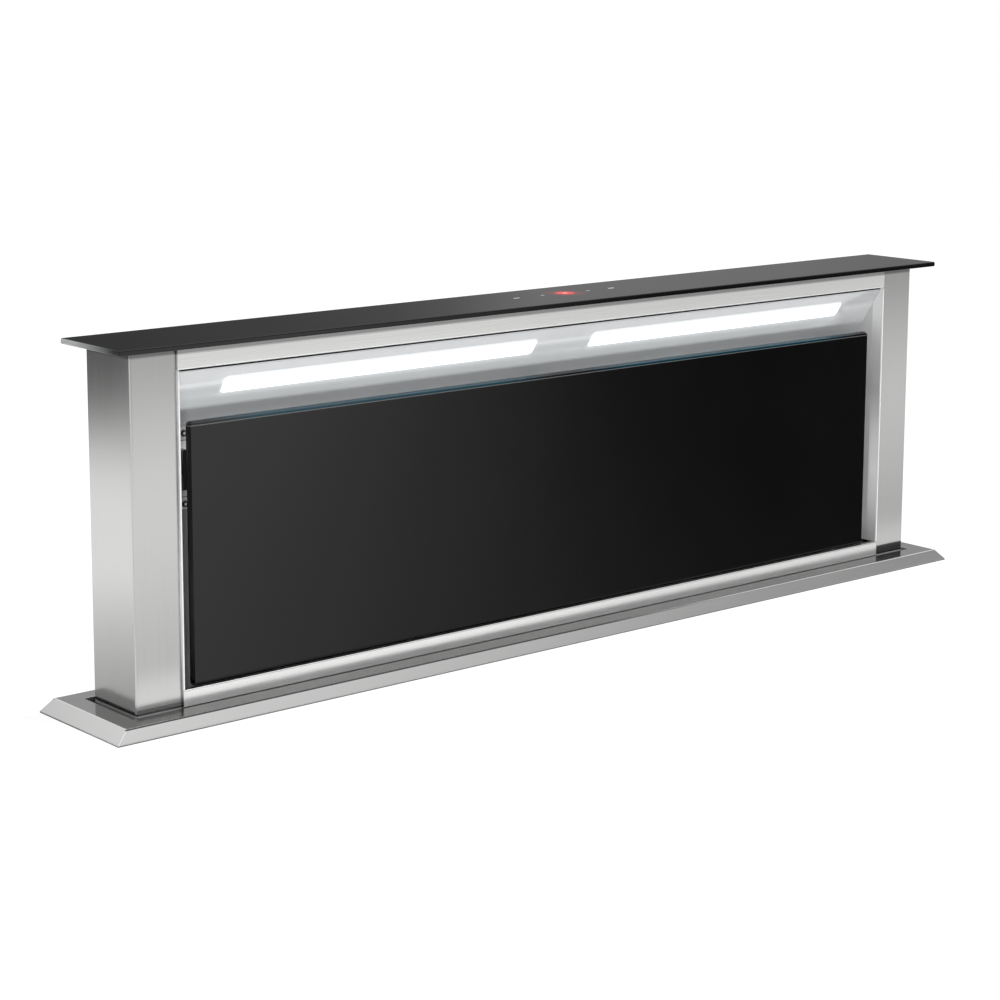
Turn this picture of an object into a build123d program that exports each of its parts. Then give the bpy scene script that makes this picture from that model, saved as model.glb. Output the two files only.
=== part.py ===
from build123d import *
from math import cos, radians, sin, tan
import os

os.makedirs("parts", exist_ok=True)

# Frame: X to the right, Y to the back, Z up, origin on the worktop's surface
# at the middle of the trim. Rest is the raised tower with its front panel shut.

# ---------------------------------------------------------------- sizes, mm
# Worktop trim
trim_width = 900.0
trim_depth = 110.0
trim_height = 10.4
trim_edge = 1.0            # upright rim at the foot of the slopes
trim_side_slope = 10.0     # how far the ends lean in
trim_long_slope = 4.8      # how far the front and back lean in
trim_sheet = 1.2
trim_arris = 0.7           # rounding of the upper edge
trim_end_rim = 26.2        # from the trim's end to its slot
trim_front_rim = 21.8
trim_back_rim = 19.4
slot_side_gap = 5.4        # from the slot's edge to the tower
slot_front_gap = 4.2
slot_back_gap = 5.6
slot_return = 6.0          # depth of the fold round the slot

# Tower
rise = 281.0               # top of the glass lid above the worktop
tower_bottom = -112.0
recess_depth = 29.0        # from the columns' front to the filter wall
column_width = 38.6
column_sheet = 1.5
column_corner = 2.0
cover_sheet = 1.2
seam = 0.3

# Glass lid
lid_depth = 82.0
lid_overhang = 15.5        # lid in front of the columns
lid_end_overhang = 16.8
lid_thickness = 4.0
lid_corner = 2.5
lid_arris = 0.9
lid_rest_gap = 0.6         # lid above the trim when lowered
top_plate_sheet = 1.5
touch_board_width = 150.0
touch_board_depth = 30.0
touch_board_thickness = 1.6
touch_centre = 19.0
touch_gap = 0.2

# Front frame round the recess
frame_proud = 2.5          # frame in front of the columns
fascia_height = 16.7
fascia_lip = 7.0
rail_top = 23.4
rail_lip = 4.5
frame_return = 4.0
sheet_bend = 1.0

# Sloping lamp panel
lamp_gap = 1.5             # dark joint under the fascia
lamp_setback = 3.36        # its upper edge behind the frame's face
lamp_slope = 32.3          # degrees from the vertical
lamp_flange = 14.0
lamp_foot = 8.0
lens_end = 45.0            # from a lamp's end to the recess's side wall
lens_parting = 60.6        # between the two lamps
lens_height = 14.6
lens_corner = 4.0
lens_drop = 18.8           # down the slope to the lamp's middle
lens_gap = 0.2
lens_proud = 0.3
lens_flange = 3.0
led_channel_depth = 12.0
led_board_thickness = 1.6
led_board_end_gap = 3.0
led_board_edge_gap = 1.0
recess_fit = 0.1           # folded pieces inside the recess's side walls

# Filter wall, filters and drip tray
filter_side_margin = 36.3  # from a filter's end to the recess's side wall
filter_top_gap = 12.3      # from a filter to the lamp panel's foot
filter_thickness = 9.2
filter_rim = 8.0
filter_skin = 1.0
filter_corner = 3.0
filter_bottom = 34.0
filter_parting = 8.0       # between the two filters
filter_lap = 2.0           # filter over the edge of its window
tray_floor = 8.0
tray_front_height = 12.0
tray_back_height = 16.0
knob_radius = 3.6
knob_length = 6.0

# Front glass panel
panel_side_gap = 11.7      # between the glass and the recess's side wall
panel_bottom = 22.0
panel_height = 198.4
panel_thickness = 5.0
panel_setback = 6.1        # glass behind the frame's face
panel_bevel_face = 2.8
panel_bevel_depth = 1.2
panel_corner = 3.0
carrier_side_margin = 14.6
carrier_top_margin = 8.4
carrier_bottom_margin = 18.0
carrier_sheet = 1.2
ear_offset = 4.0
ear_depth = 8.4
ear_height = 40.0
ear_tab = 20.0
pin_radius = 1.5
pin_height = 6.0           # hinge line above the glass's lower edge
pin_behind_glass = 2.9
hinge_gap = 0.3
hinge_plate = 3.0
hinge_plate_height = 12.0
pin_overlap = 3.0
running_fit = 0.05

# Magnetic catches in the side gaps
catch_bottom = 151.0
catch_plate_height = 61.0
catch_plate_width = 26.0
catch_tab = 8.0
catch_screw_radius = 2.2
catch_screw_head = 1.4
catch_screw_inset = 5.0
catch_bar_inset = 18.0       # from the frame's inner side to the bar
catch_arm_inset = 11.0
catch_bar_width = 3.6
catch_bar_height = 30.0
catch_arm_height = 7.6
catch_arm_length = 23.0
catch_depth = 6.1
catch_middle = 181.6
striker_radius = 4.0
striker_gap = 0.3

# Casing under the worktop
casing_side_gap = 12.6     # outside the tower
casing_front_gap = 9.0
casing_back_gap = 11.0
casing_below_blower = 120.0
casing_sheet = 1.2
casing_fold = 14.0
flange_width = 10.0
flange_sheet = 1.5
gasket_width = 6.0

# Guides, screws and belt
rail_thickness = 8.0
rail_width = 16.0
guide_end_gap = 12.0
slide_thickness = 10.0
slide_width = 26.0
slide_height = 30.0
slide_top = -20.0
slide_spacing = 55.0
slide_gap = 0.3
screw_radius = 7.0
screw_journal = 5.0
screw_inset = 18.4         # from the tower's end to the screw's axis
screw_top = -60.0
screw_chamfer = 1.5
bearing_size = 36.0
bearing_height = 24.0
bearing_corner = 4.0
nut_radius = 12.0
nut_flange_radius = 16.0
nut_flange = 5.0
nut_length = 20.0
beam_sheet = 3.0
beam_depth = 15.0
pulley_radius = 14.0
pulley_rim = 2.5
pulley_height = 12.0
pulley_gap = 3.0
belt_gap = 0.3
belt_thickness = 1.6
belt_width = 9.0
guard_depth = 28.0
guard_width = 49.0
guard_sheet = 1.2
gearbox_radius = 22.0
gearbox_height = 42.0
gearbox_chamfer = 2.0
motor_radius = 18.0
motor_height = 58.0
motor_corner = 3.0
shaft_socket = 12.0

# Legs to the cabinet floor
leg_width = 30.0
leg_sheet = 2.0
leg_from_end = 33.0        # from the casing's end to the middle of a leg
leg_height = 150.0         # below the casing
leg_overlap = 58.0
foot_length = 40.0
foot_hole_radius = 3.0
foot_hole_spacing = 20.0

# Blower
blower_x = -70.0
blower_drop = 107.0        # from the lowered tower to the blower's axis
volute_gap = 8.0           # round the wheel at its narrowest
volute_length = 190.0
volute_sheet = 1.5
volute_flange = 12.0
wheel_radius = 90.0
wheel_eye = 70.0
wheel_width = 92.0
wheel_plate = 2.0
blade_count = 30
blade_thickness = 1.2
blade_lean = 35.0
hub_radius = 14.0
hub_length = 24.0
shaft_radius = 4.0
shaft_end = 3.0            # shaft past the hub
shaft_seat = 25.0          # shaft inside the motor
inlet_wheel_gap = 2.0      # ring inside the wheel's eye
inlet_sheet = 1.5
inlet_flange = 33.5        # width of the ring's flange
inlet_reach = 18.0         # ring in front of the casing
inlet_gap = 1.0
wheel_front_gap = 14.0     # wheel in front of the casing
blower_motor_radius = 45.0
blower_motor_corner = 4.0
motor_plate_rim = 12.0
motor_plate = 3.0
motor_wheel_gap = 2.5

# Duct collar and non-return flaps
duct_radius = 75.0
duct_length = 80.0
duct_sheet = 1.2
duct_plate_height_rim = 2.0
duct_plate_depth_rim = 4.0
flap_from_plate = 8.0
flap_thickness = 1.2
flap_clearance = 1.2
flap_pin_radius = 1.5
knuckle_radius = 3.0
knuckle_length = 24.0
knuckle_gap = 2.0
spring_room = 24.0         # between the knuckles, for the spring
flap_spring_wire = 0.6
flap_spring_radius = 2.2
flap_spring_turns = 9
flap_spring_pitch = 1.6
flap_root = 3.9
stop_ring = 3.3

# Control box
box_from_end = 101.0       # from the casing's end to the box's middle
box_z = -195.0
box_width = 160.0
box_height = 130.0
box_depth = 55.0
box_sheet = 1.5
board_margin = 12.0
board_height = 8.0
board_thickness = 1.6
boss_radius = 4.0
lid_skirt = 10.0           # how far the box's lid reaches over the box
transformer_size = (35.0, 26.0, 32.0)
relay_size = (45.0, 15.0, 20.0)
board_part_inset = (15.0, 5.0)   # transformer and relays from the board's middle
gland_radius = 8.0
gland_bore = 3.2
gland_nut = 4.0
gland_thread_radius = 6.0
gland_length = 20.0

# Screws on the sheet metal
screw_head_radius = 3.8
screw_head_height = 2.2
screw_head_round = 0.8
screws_in_row = 6

# Cutting shapes run past the faces that they cut by this much
past = 1.0

# ------------------------------------------------------- places worked out
lid_bottom = rise - lid_thickness
lift_travel = lid_bottom - trim_height - lid_rest_gap
slot_side = trim_width / 2 - trim_end_rim
slot_front = -trim_depth / 2 + trim_front_rim
slot_back = trim_depth / 2 - trim_back_rim
tower_front = slot_front + slot_front_gap
tower_back = slot_back - slot_back_gap
tower_middle = (tower_front + tower_back) / 2
column_outer = slot_side - slot_side_gap
column_inner = column_outer - column_width
lid_width = 2 * (column_outer + lid_end_overhang)
filter_wall_front = tower_front + recess_depth
frame_side = column_inner - seam
frame_front = tower_front - frame_proud
frame_inside = frame_side - cover_sheet
fascia_bottom = lid_bottom - fascia_height
recess_side = frame_inside - recess_fit
lens_width = frame_inside - lens_end - lens_parting / 2
lens_centre = (lens_width + lens_parting) / 2
filter_width = frame_inside - filter_side_margin - filter_parting / 2
panel_width = 2 * (frame_inside - panel_side_gap)
panel_front = frame_front + panel_setback
panel_back = panel_front + panel_thickness
pin_y = panel_back + pin_behind_glass
pin_z = panel_bottom + pin_height
carrier_back = panel_back + carrier_sheet
carrier_side = panel_width / 2 - carrier_side_margin
lowered_bottom = tower_bottom - beam_depth - lift_travel
blower_z = lowered_bottom - blower_drop
casing_depth = casing_below_blower - blower_z
casing_side = column_outer + casing_side_gap
casing_front = tower_front - casing_front_gap
casing_back = tower_back + casing_back_gap
screw_from_middle = column_outer - screw_inset
leg_from_middle = casing_side - leg_from_end
leg_bottom = -casing_depth - leg_height
casing_inner_side = casing_side - casing_sheet
casing_inner_front = casing_front + casing_sheet
casing_inner_back = casing_back - casing_sheet
casing_floor_top = -casing_depth + casing_sheet


# ------------------------------------------------------------ small helpers
def block(x, y, z):
    """A box between two limits on each axis."""
    limits = (x, y, z)
    middle = [(low + high) / 2 for low, high in limits]
    size = [high - low for low, high in limits]
    return Pos(*middle) * Box(*size)


def rod_x(radius, y, z, x):
    return Pos((x[0] + x[1]) / 2, y, z) * Rot(0, 90, 0) * Cylinder(radius, x[1] - x[0])


def rod_y(radius, x, z, y):
    return Pos(x, (y[0] + y[1]) / 2, z) * Rot(90, 0, 0) * Cylinder(radius, y[1] - y[0])


def rod_z(radius, x, y, z):
    return Pos(x, y, (z[0] + z[1]) / 2) * Cylinder(radius, z[1] - z[0])


def other_side(piece):
    return mirror(piece, about=Plane.YZ)


def both_sides(piece):
    return [piece, other_side(piece)]


def save(node, *pieces):
    """One file for each node, with every piece of the node as a solid of its own."""
    solids = [solid for piece in pieces for solid in piece.solids()]
    whole = solids[0] if len(solids) == 1 else Compound(children=solids)
    export_step(whole, f"parts/{node}.step")


def upright_edges(piece, x, y, reach=0.01):
    """The vertical edges of a piece at one place in plan."""
    found = []
    for edge in piece.edges().filter_by(Axis.Z):
        centre = edge.center()
        if abs(centre.X - x) < reach and abs(centre.Y - y) < reach:
            found.append(edge)
    return found


# --------------------------------------------------------------- worktop trim
def trim_body(margin, top):
    """The trim's outline with all its faces moved in by a margin."""
    width = trim_width - 2 * margin
    depth = trim_depth - 2 * margin
    share = (top - trim_edge) / (trim_height - trim_edge)
    foot = Rectangle(width, depth)
    head = Rectangle(width - 2 * trim_side_slope * share, depth - 2 * trim_long_slope * share)
    rim = extrude(foot, trim_edge)
    slope = loft([Pos(0, 0, trim_edge) * foot, Pos(0, 0, top) * head])
    return rim + slope


def worktop_trim():
    shell = trim_body(0, trim_height)
    shell = fillet(shell.faces().sort_by(Axis.Z)[-1].edges(), trim_arris)
    shell -= trim_body(trim_sheet, trim_height - trim_sheet)
    fold = block(
        (-slot_side - trim_sheet, slot_side + trim_sheet),
        (slot_front - trim_sheet, slot_back + trim_sheet),
        (trim_height - slot_return, trim_height - trim_sheet),
    )
    slot = block((-slot_side, slot_side), (slot_front, slot_back), (-past, trim_height + past))
    return shell + fold - slot


def mount_frame():
    """The flange welded round the casing's top, which lies on the worktop under the trim."""
    plate = block(
        (-casing_side - flange_width, casing_side + flange_width),
        (casing_front - flange_width, casing_back + flange_width),
        (0, flange_sheet),
    )
    return plate - block(
        (-casing_side, casing_side),
        (casing_front, casing_back),
        (-past, flange_sheet + past),
    )


def trim_gaskets():
    """Two foam strips that the trim is pressed down on."""
    height = (flange_sheet, trim_height - trim_sheet)
    front = slot_front - trim_sheet - seam
    back = slot_back + trim_sheet + seam
    return [
        block((-slot_side, slot_side), (front - gasket_width, front), height),
        block((-slot_side, slot_side), (back, back + gasket_width), height),
    ]


# ------------------------------------------------------------------- casing
def casing_front_panel():
    panel = block(
        (-casing_side, casing_side), (casing_front, casing_inner_front), (-casing_depth, flange_sheet)
    )
    through = (casing_front - past, casing_inner_front + past)
    panel -= rod_y(inlet_radius + inlet_sheet + inlet_gap, blower_x, blower_z, through)
    return panel - rod_y(gland_radius, box_x, box_z, through)


def casing_rear_panel():
    return block(
        (-casing_side, casing_side), (casing_inner_back, casing_back), (-casing_depth, flange_sheet)
    )


def casing_end_panel():
    """A folded end: the web with a fold along the front panel and one along the rear."""
    web = block(
        (casing_inner_side, casing_side),
        (casing_inner_front, casing_inner_back),
        (-casing_depth, flange_sheet),
    )
    fold_x = (casing_inner_side - casing_fold, casing_inner_side)
    fold_z = (casing_floor_top, flange_sheet)
    front = block(fold_x, (casing_inner_front, casing_inner_front + casing_sheet), fold_z)
    back = block(fold_x, (casing_inner_back - casing_sheet, casing_inner_back), fold_z)
    return web + front + back


def casing_floor():
    sheet = block(
        (-casing_inner_side, casing_inner_side),
        (casing_inner_front, casing_inner_back),
        (-casing_depth, casing_floor_top),
    )
    through = (-casing_depth - past, casing_floor_top + past)
    for x in (-screw_from_middle, screw_from_middle):
        sheet -= rod_z(screw_journal + running_fit, x, tower_middle, through)
    return sheet


def sheet_screws():
    """Pan heads down the folds of the casing's front and back."""
    heads = []
    step = casing_depth / screws_in_row
    x = casing_inner_side - casing_fold / 2
    for row in range(screws_in_row):
        z = -step * (row + 0.5)
        front = rod_y(screw_head_radius, x, z, (casing_front - screw_head_height, casing_front))
        back = rod_y(screw_head_radius, x, z, (casing_back, casing_back + screw_head_height))
        heads += both_sides(fillet(front.edges().group_by(Axis.Y)[0], screw_head_round))
        heads += both_sides(fillet(back.edges().group_by(Axis.Y)[-1], screw_head_round))
    return heads


def support_leg():
    """A strip down the casing's front with a foot for the cabinet floor."""
    across = (leg_from_middle - leg_width / 2, leg_from_middle + leg_width / 2)
    strip_top = leg_overlap - casing_depth
    strip = block(across, (casing_front - leg_sheet, casing_front), (leg_bottom, strip_top))
    foot_top = leg_bottom + leg_sheet
    leg = strip + block(across, (casing_front - foot_length, casing_front), (leg_bottom, foot_top))
    middle = casing_front - leg_sheet - (foot_length - leg_sheet) / 2
    for y in (middle - foot_hole_spacing / 2, middle + foot_hole_spacing / 2):
        leg -= rod_z(foot_hole_radius, leg_from_middle, y, (leg_bottom - past, foot_top + past))
    return leg


# ------------------------------------------------------------ lifting gear
def guide_rail():
    inner = casing_inner_side - rail_thickness
    across = (tower_middle - rail_width / 2, tower_middle + rail_width / 2)
    return block((inner, casing_inner_side), across, (casing_floor_top + guide_end_gap, -guide_end_gap))


def slide_blocks():
    """Plastic shoes on the columns that run on the guide rails."""
    groove_x = casing_inner_side - rail_thickness - slide_gap
    groove = rail_width / 2 + slide_gap
    shoes = []
    for top in (slide_top, slide_top - slide_spacing):
        shoe = block(
            (column_outer, column_outer + slide_thickness),
            (tower_middle - slide_width / 2, tower_middle + slide_width / 2),
            (top - slide_height, top),
        )
        shoe -= block(
            (groove_x, casing_side),
            (tower_middle - groove, tower_middle + groove),
            (top - slide_height - past, top + past),
        )
        shoes += both_sides(shoe)
    return shoes


bearing_top = casing_floor_top + bearing_height
pulley_top = -casing_depth - pulley_gap
pulley_bottom = pulley_top - pulley_height
guard_bottom = -casing_depth - guard_depth


def lead_screw(side, foot):
    """A plain journal through the bearing below the threaded length."""
    x = side * screw_from_middle
    journal = rod_z(screw_journal, x, tower_middle, (foot, bearing_top))
    thread = rod_z(screw_radius, x, tower_middle, (bearing_top + seam, screw_top))
    neck = rod_z(screw_journal, x, tower_middle, (bearing_top, bearing_top + seam))
    return journal + neck + chamfer(thread.edges().sort_by(Axis.Z)[-1], screw_chamfer)


def belt_pulley(side):
    x = side * screw_from_middle
    seat = rod_z(pulley_radius, x, tower_middle, (pulley_bottom, pulley_top))
    rim = (pulley_height - belt_width) / 2 - belt_gap
    seat += rod_z(pulley_radius + pulley_rim, x, tower_middle, (pulley_bottom, pulley_bottom + rim))
    seat += rod_z(pulley_radius + pulley_rim, x, tower_middle, (pulley_top - rim, pulley_top))
    return seat - rod_z(screw_journal, x, tower_middle, (pulley_bottom - past, pulley_top + past))


def screw_bearings():
    housings = []
    half = bearing_size / 2
    through = (casing_floor_top - past, bearing_top + past)
    for x in (-screw_from_middle, screw_from_middle):
        across = (x - half, x + half)
        housing = block(across, (tower_middle - half, tower_middle + half), (casing_floor_top, bearing_top))
        housing = fillet(housing.edges().filter_by(Axis.Z), bearing_corner)
        housings.append(housing - rod_z(screw_journal + running_fit, x, tower_middle, through))
    return housings


def drive_belt():
    """One closed belt round the pulleys of the two screws."""
    inner = pulley_radius + belt_gap
    apart = 2 * screw_from_middle
    loop = SlotCenterToCenter(apart, 2 * (inner + belt_thickness)) - SlotCenterToCenter(apart, 2 * inner)
    low = (pulley_top + pulley_bottom - belt_width) / 2
    return extrude(Pos(0, tower_middle, low) * loop, belt_width)


def belt_guard():
    """A channel screwed under the casing that closes in the belt."""
    side = screw_from_middle + guard_width / 2
    across = (tower_middle - guard_width / 2, tower_middle + guard_width / 2)
    channel = block((-side, side), across, (guard_bottom, -casing_depth))
    channel -= block(
        (-side + guard_sheet, side - guard_sheet),
        (across[0] + guard_sheet, across[1] - guard_sheet),
        (guard_bottom + guard_sheet, past - casing_depth),
    )
    through = (guard_bottom - past, -casing_depth)
    return channel - rod_z(screw_journal + seam, screw_from_middle, tower_middle, through)


def lift_motor():
    """A gear motor that turns the right screw from below."""
    gearbox_bottom = guard_bottom - gearbox_height
    gearbox = rod_z(gearbox_radius, screw_from_middle, tower_middle, (gearbox_bottom, guard_bottom))
    gearbox = chamfer(gearbox.edges().sort_by(Axis.Z)[0], gearbox_chamfer)
    can_z = (gearbox_bottom - motor_height, gearbox_bottom)
    can = rod_z(motor_radius, screw_from_middle, tower_middle, can_z)
    can = fillet(can.edges().sort_by(Axis.Z)[0], motor_corner)
    socket_z = (guard_bottom - shaft_socket - past, guard_bottom + past)
    socket = rod_z(screw_journal + running_fit, screw_from_middle, tower_middle, socket_z)
    return gearbox + can - socket


def carriage_beam():
    """The channel under the columns that carries the tower on its two nuts."""
    inside = column_outer - column_sheet
    front = tower_front + column_sheet
    plate_z = (tower_bottom - beam_sheet, tower_bottom)
    between = (-column_inner, column_inner)
    web = block(between, (front, filter_wall_front), plate_z)
    for y in (front, filter_wall_front - beam_sheet):
        web += block(between, (y, y + beam_sheet), (tower_bottom - beam_depth, tower_bottom))
    pad = block((column_inner, inside), (front, tower_back - column_sheet), plate_z)
    beam = web + pad + other_side(pad)
    through = (tower_bottom - beam_sheet - past, tower_bottom + past)
    for x in (-screw_from_middle, screw_from_middle):
        beam -= rod_z(nut_radius, x, tower_middle, through)
    return beam


def lift_nuts():
    nuts = []
    through = (tower_bottom - nut_length - past, tower_bottom + nut_flange + past)
    for x in (-screw_from_middle, screw_from_middle):
        barrel = rod_z(nut_radius, x, tower_middle, (tower_bottom - nut_length, tower_bottom))
        flange = rod_z(nut_flange_radius, x, tower_middle, (tower_bottom, tower_bottom + nut_flange))
        bore = rod_z(screw_radius + running_fit, x, tower_middle, through)
        nuts.append(barrel + flange - bore)
    return nuts


# -------------------------------------------------------------------- tower
def column():
    """A folded steel channel, open towards the middle of the tower."""
    bar = block((column_inner, column_outer), (tower_front, tower_back), (tower_bottom, lid_bottom))
    corners = upright_edges(bar, column_outer, tower_front) + upright_edges(bar, column_outer, tower_back)
    bar = fillet(corners, column_corner)
    return bar - block(
        (column_inner - past, column_outer - column_sheet),
        (tower_front + column_sheet, tower_back - column_sheet),
        (tower_bottom - past, lid_bottom + past),
    )


def rear_cover():
    side = column_inner - seam
    return block((-side, side), (tower_back - cover_sheet, tower_back), (tower_bottom, lid_bottom))


def top_plate():
    """The plate that the glass lid is bonded to, with a window for the touch board."""
    inside = column_outer - column_sheet
    front = tower_front + column_sheet
    back = tower_back - column_sheet
    low = lid_bottom - top_plate_sheet
    plate = block((-inside, inside), (front, back), (low, lid_bottom))
    return plate - block(
        (touch_centre - touch_board_width / 2, touch_centre + touch_board_width / 2),
        (tower_middle - touch_board_depth / 2, tower_middle + touch_board_depth / 2),
        (low - past, lid_bottom + past),
    )


def touch_board():
    """A sensor board pressed against the underside of the glass."""
    half_width = touch_board_width / 2 - touch_gap
    half_depth = touch_board_depth / 2 - touch_gap
    return block(
        (touch_centre - half_width, touch_centre + half_width),
        (tower_middle - half_depth, tower_middle + half_depth),
        (lid_bottom - touch_board_thickness, lid_bottom),
    )


def top_glass():
    front = tower_front - lid_overhang
    lid = block((-lid_width / 2, lid_width / 2), (front, front + lid_depth), (lid_bottom, rise))
    lid = fillet(lid.edges().filter_by(Axis.Z), lid_corner)
    top = fillet(lid.faces().sort_by(Axis.Z)[-1].edges(), lid_arris)
    return fillet(top.faces().sort_by(Axis.Z)[0].edges(), lid_arris)


def fascia():
    """The strip under the lid, folded back along its lower edge and at its ends."""
    across = (-frame_side, frame_side)
    high = (fascia_bottom, lid_bottom)
    face = block(across, (frame_front, frame_front + cover_sheet), high)
    lip = block(across, (frame_front, frame_front + fascia_lip), (fascia_bottom, fascia_bottom + cover_sheet))
    end = block((frame_inside, frame_side), (frame_front, frame_front + frame_return), high)
    strip = face + lip + end + other_side(end)
    bend = strip.edges().filter_by(Axis.X).group_by(Axis.Z)[0].sort_by(Axis.Y)[0]
    return fillet(bend, sheet_bend)


def lower_front_cover():
    """The front apron, whose top edge is the rail under the glass panel."""
    across = (-frame_side, frame_side)
    high = (tower_bottom, rail_top)
    face = block(across, (frame_front, frame_front + cover_sheet), high)
    lip = block(across, (frame_front, frame_front + rail_lip), (rail_top - cover_sheet, rail_top))
    end = block((frame_inside, frame_side), (frame_front, frame_front + rail_lip), high)
    apron = face + lip + end + other_side(end)
    bend = apron.edges().filter_by(Axis.X).group_by(Axis.Z)[-1].sort_by(Axis.Y)[0]
    return fillet(bend, sheet_bend)


def frame_side_wall():
    """A side wall of the recess, from the frame's face back to the filter wall."""
    return block((frame_inside, frame_side), (frame_front, filter_wall_front), (rail_top, fascia_bottom))


# The sloping panel's own plane: X to the right, Y up the slope, Z out of its face.
lamp_top_z = fascia_bottom - lamp_gap
lamp_run = tan(radians(lamp_slope))
lamp_front = frame_front + lamp_setback
lamp_foot_z = lamp_top_z - (filter_wall_front - lamp_front) / lamp_run
lamp_length = (lamp_top_z - lamp_foot_z) / cos(radians(lamp_slope))
lamp_plane = Plane(
    origin=(0, lamp_front, lamp_top_z),
    x_dir=(1, 0, 0),
    z_dir=(0, -cos(radians(lamp_slope)), -sin(radians(lamp_slope))),
)

def on_lamp_panel(outline, back, front):
    """An outline on the sloping face, extruded between two depths."""
    return extrude(lamp_plane * Pos(0, 0, back) * outline, front - back)


def lamp_outline(side, grow=0.0):
    outline = RectangleRounded(lens_width + 2 * grow, lens_height + 2 * grow, lens_corner + grow)
    return Pos(side * lens_centre, -lens_drop, 0) * outline


def light_panel():
    across = (-recess_side, recess_side)
    outline = Pos(0, -lamp_length / 2, 0) * Rectangle(2 * recess_side, lamp_length)
    slope = on_lamp_panel(outline, -cover_sheet, 0)
    slope -= block(across, (filter_wall_front, filter_wall_front + recess_depth), (0, rise))
    flange = block(across, (lamp_front, lamp_front + lamp_flange), (lamp_top_z - cover_sheet, lamp_top_z))
    foot = block(
        across,
        (filter_wall_front - cover_sheet, filter_wall_front),
        (lamp_foot_z - lamp_foot, lamp_foot_z + cover_sheet),
    )
    panel = slope + flange + foot
    for side in (-1, 1):
        panel -= on_lamp_panel(lamp_outline(side, lens_gap), -cover_sheet - past, past)
    return panel


def lamp_lens(side):
    """A frosted cover that fills its window from behind."""
    face = on_lamp_panel(lamp_outline(side), -cover_sheet, lens_proud)
    flange = on_lamp_panel(lamp_outline(side, lens_flange), -2 * cover_sheet, -cover_sheet)
    return face + flange


def led_channel(side):
    """The heat sink that is clipped behind a lamp cover."""
    face = -2 * cover_sheet
    outer = on_lamp_panel(lamp_outline(side, lens_flange), face - led_channel_depth, face)
    hollow = lamp_outline(side, lens_flange - cover_sheet)
    return outer - on_lamp_panel(hollow, -cover_sheet - led_channel_depth, face + past)


def led_board(side):
    back = -cover_sheet - led_channel_depth
    outline = Rectangle(lens_width - 2 * led_board_end_gap, lens_height - 2 * led_board_edge_gap)
    outline = Pos(side * lens_centre, -lens_drop, 0) * outline
    return on_lamp_panel(outline, back, back + led_board_thickness)


filter_middle = (filter_parting + filter_width) / 2
filter_height = lamp_foot_z - lamp_foot - filter_top_gap - filter_bottom


def filter_wall():
    """The wall between the recess and the duct behind it, with a window for each filter."""
    wall = block(
        (-frame_side, frame_side),
        (filter_wall_front, filter_wall_front + cover_sheet),
        (tower_bottom, lamp_foot_z),
    )
    half = filter_width / 2 - filter_lap
    for x in (-filter_middle, filter_middle):
        wall -= block(
            (x - half, x + half),
            (filter_wall_front - past, filter_wall_front + cover_sheet + past),
            (filter_bottom + filter_lap, filter_bottom + filter_height - filter_lap),
        )
    return wall


def grease_filter():
    """A metal filter's frame, with a channel round its mesh."""
    front = filter_wall_front - filter_thickness
    half = filter_width / 2
    frame = block(
        (filter_middle - half, filter_middle + half),
        (front, filter_wall_front),
        (filter_bottom, filter_bottom + filter_height),
    )
    frame = fillet(frame.edges().filter_by(Axis.Y), filter_corner)
    frame -= block(
        (filter_middle - half + filter_rim, filter_middle + half - filter_rim),
        (front - past, filter_wall_front + past),
        (filter_bottom + filter_rim, filter_bottom + filter_height - filter_rim),
    )
    return frame + filter_knob()


def filter_mesh():
    half = filter_width / 2 - filter_rim
    return block(
        (filter_middle - half, filter_middle + half),
        (filter_wall_front - filter_thickness + filter_skin, filter_wall_front - filter_skin),
        (filter_bottom + filter_rim, filter_bottom + filter_height - filter_rim),
    )


def filter_knob():
    """A pull riveted to the upper bar of a filter."""
    front = filter_wall_front - filter_thickness
    z = filter_bottom + filter_height - filter_rim / 2
    return rod_y(knob_radius, filter_middle, z, (front - knob_length, front + past))


def drip_tray():
    """A tray below the filters that catches what runs down the glass."""
    front = frame_front + cover_sheet
    across = (-recess_side, recess_side)
    low_wall = (tray_floor, tray_floor + tray_front_height)
    floor = block(across, (front, filter_wall_front), (tray_floor, tray_floor + cover_sheet))
    front_wall = block(across, (front, front + cover_sheet), low_wall)
    back_wall = block(
        across,
        (filter_wall_front - cover_sheet, filter_wall_front),
        (tray_floor, tray_floor + tray_back_height),
    )
    end = block((recess_side - cover_sheet, recess_side), (front, filter_wall_front), low_wall)
    return floor + front_wall + back_wall + end + other_side(end)


# --------------------------------------------------- front glass and hinges
def front_glass():
    pane = block(
        (-panel_width / 2, panel_width / 2),
        (panel_front, panel_back),
        (panel_bottom, panel_bottom + panel_height),
    )
    pane = fillet(pane.edges().filter_by(Axis.Y), panel_corner)
    face = pane.faces().sort_by(Axis.Y)[0]
    return chamfer(face.edges(), panel_bevel_depth, panel_bevel_face, reference=face)


ear_inner = carrier_side + ear_offset


def panel_carrier():
    """The steel plate bonded behind the glass, with a folded ear at each lower end."""
    low = panel_bottom + carrier_bottom_margin
    high = panel_bottom + panel_height - carrier_top_margin
    plate = block((-carrier_side, carrier_side), (panel_back, carrier_back), (low, high))
    ear_top = pin_z - pin_height + ear_height
    ear_outer = ear_inner + carrier_sheet
    tab = block((carrier_side, ear_outer), (panel_back, carrier_back), (ear_top - ear_tab, ear_top))
    ear = block(
        (ear_inner, ear_outer),
        (panel_back, panel_back + ear_depth),
        (pin_z - pin_height / 2, ear_top),
    )
    arm = tab + ear + striker()
    return plate + arm + other_side(arm)


def hinge_pin():
    return rod_x(pin_radius, pin_y, pin_z, (ear_inner - 2 * pin_overlap - hinge_plate, ear_inner))


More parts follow.
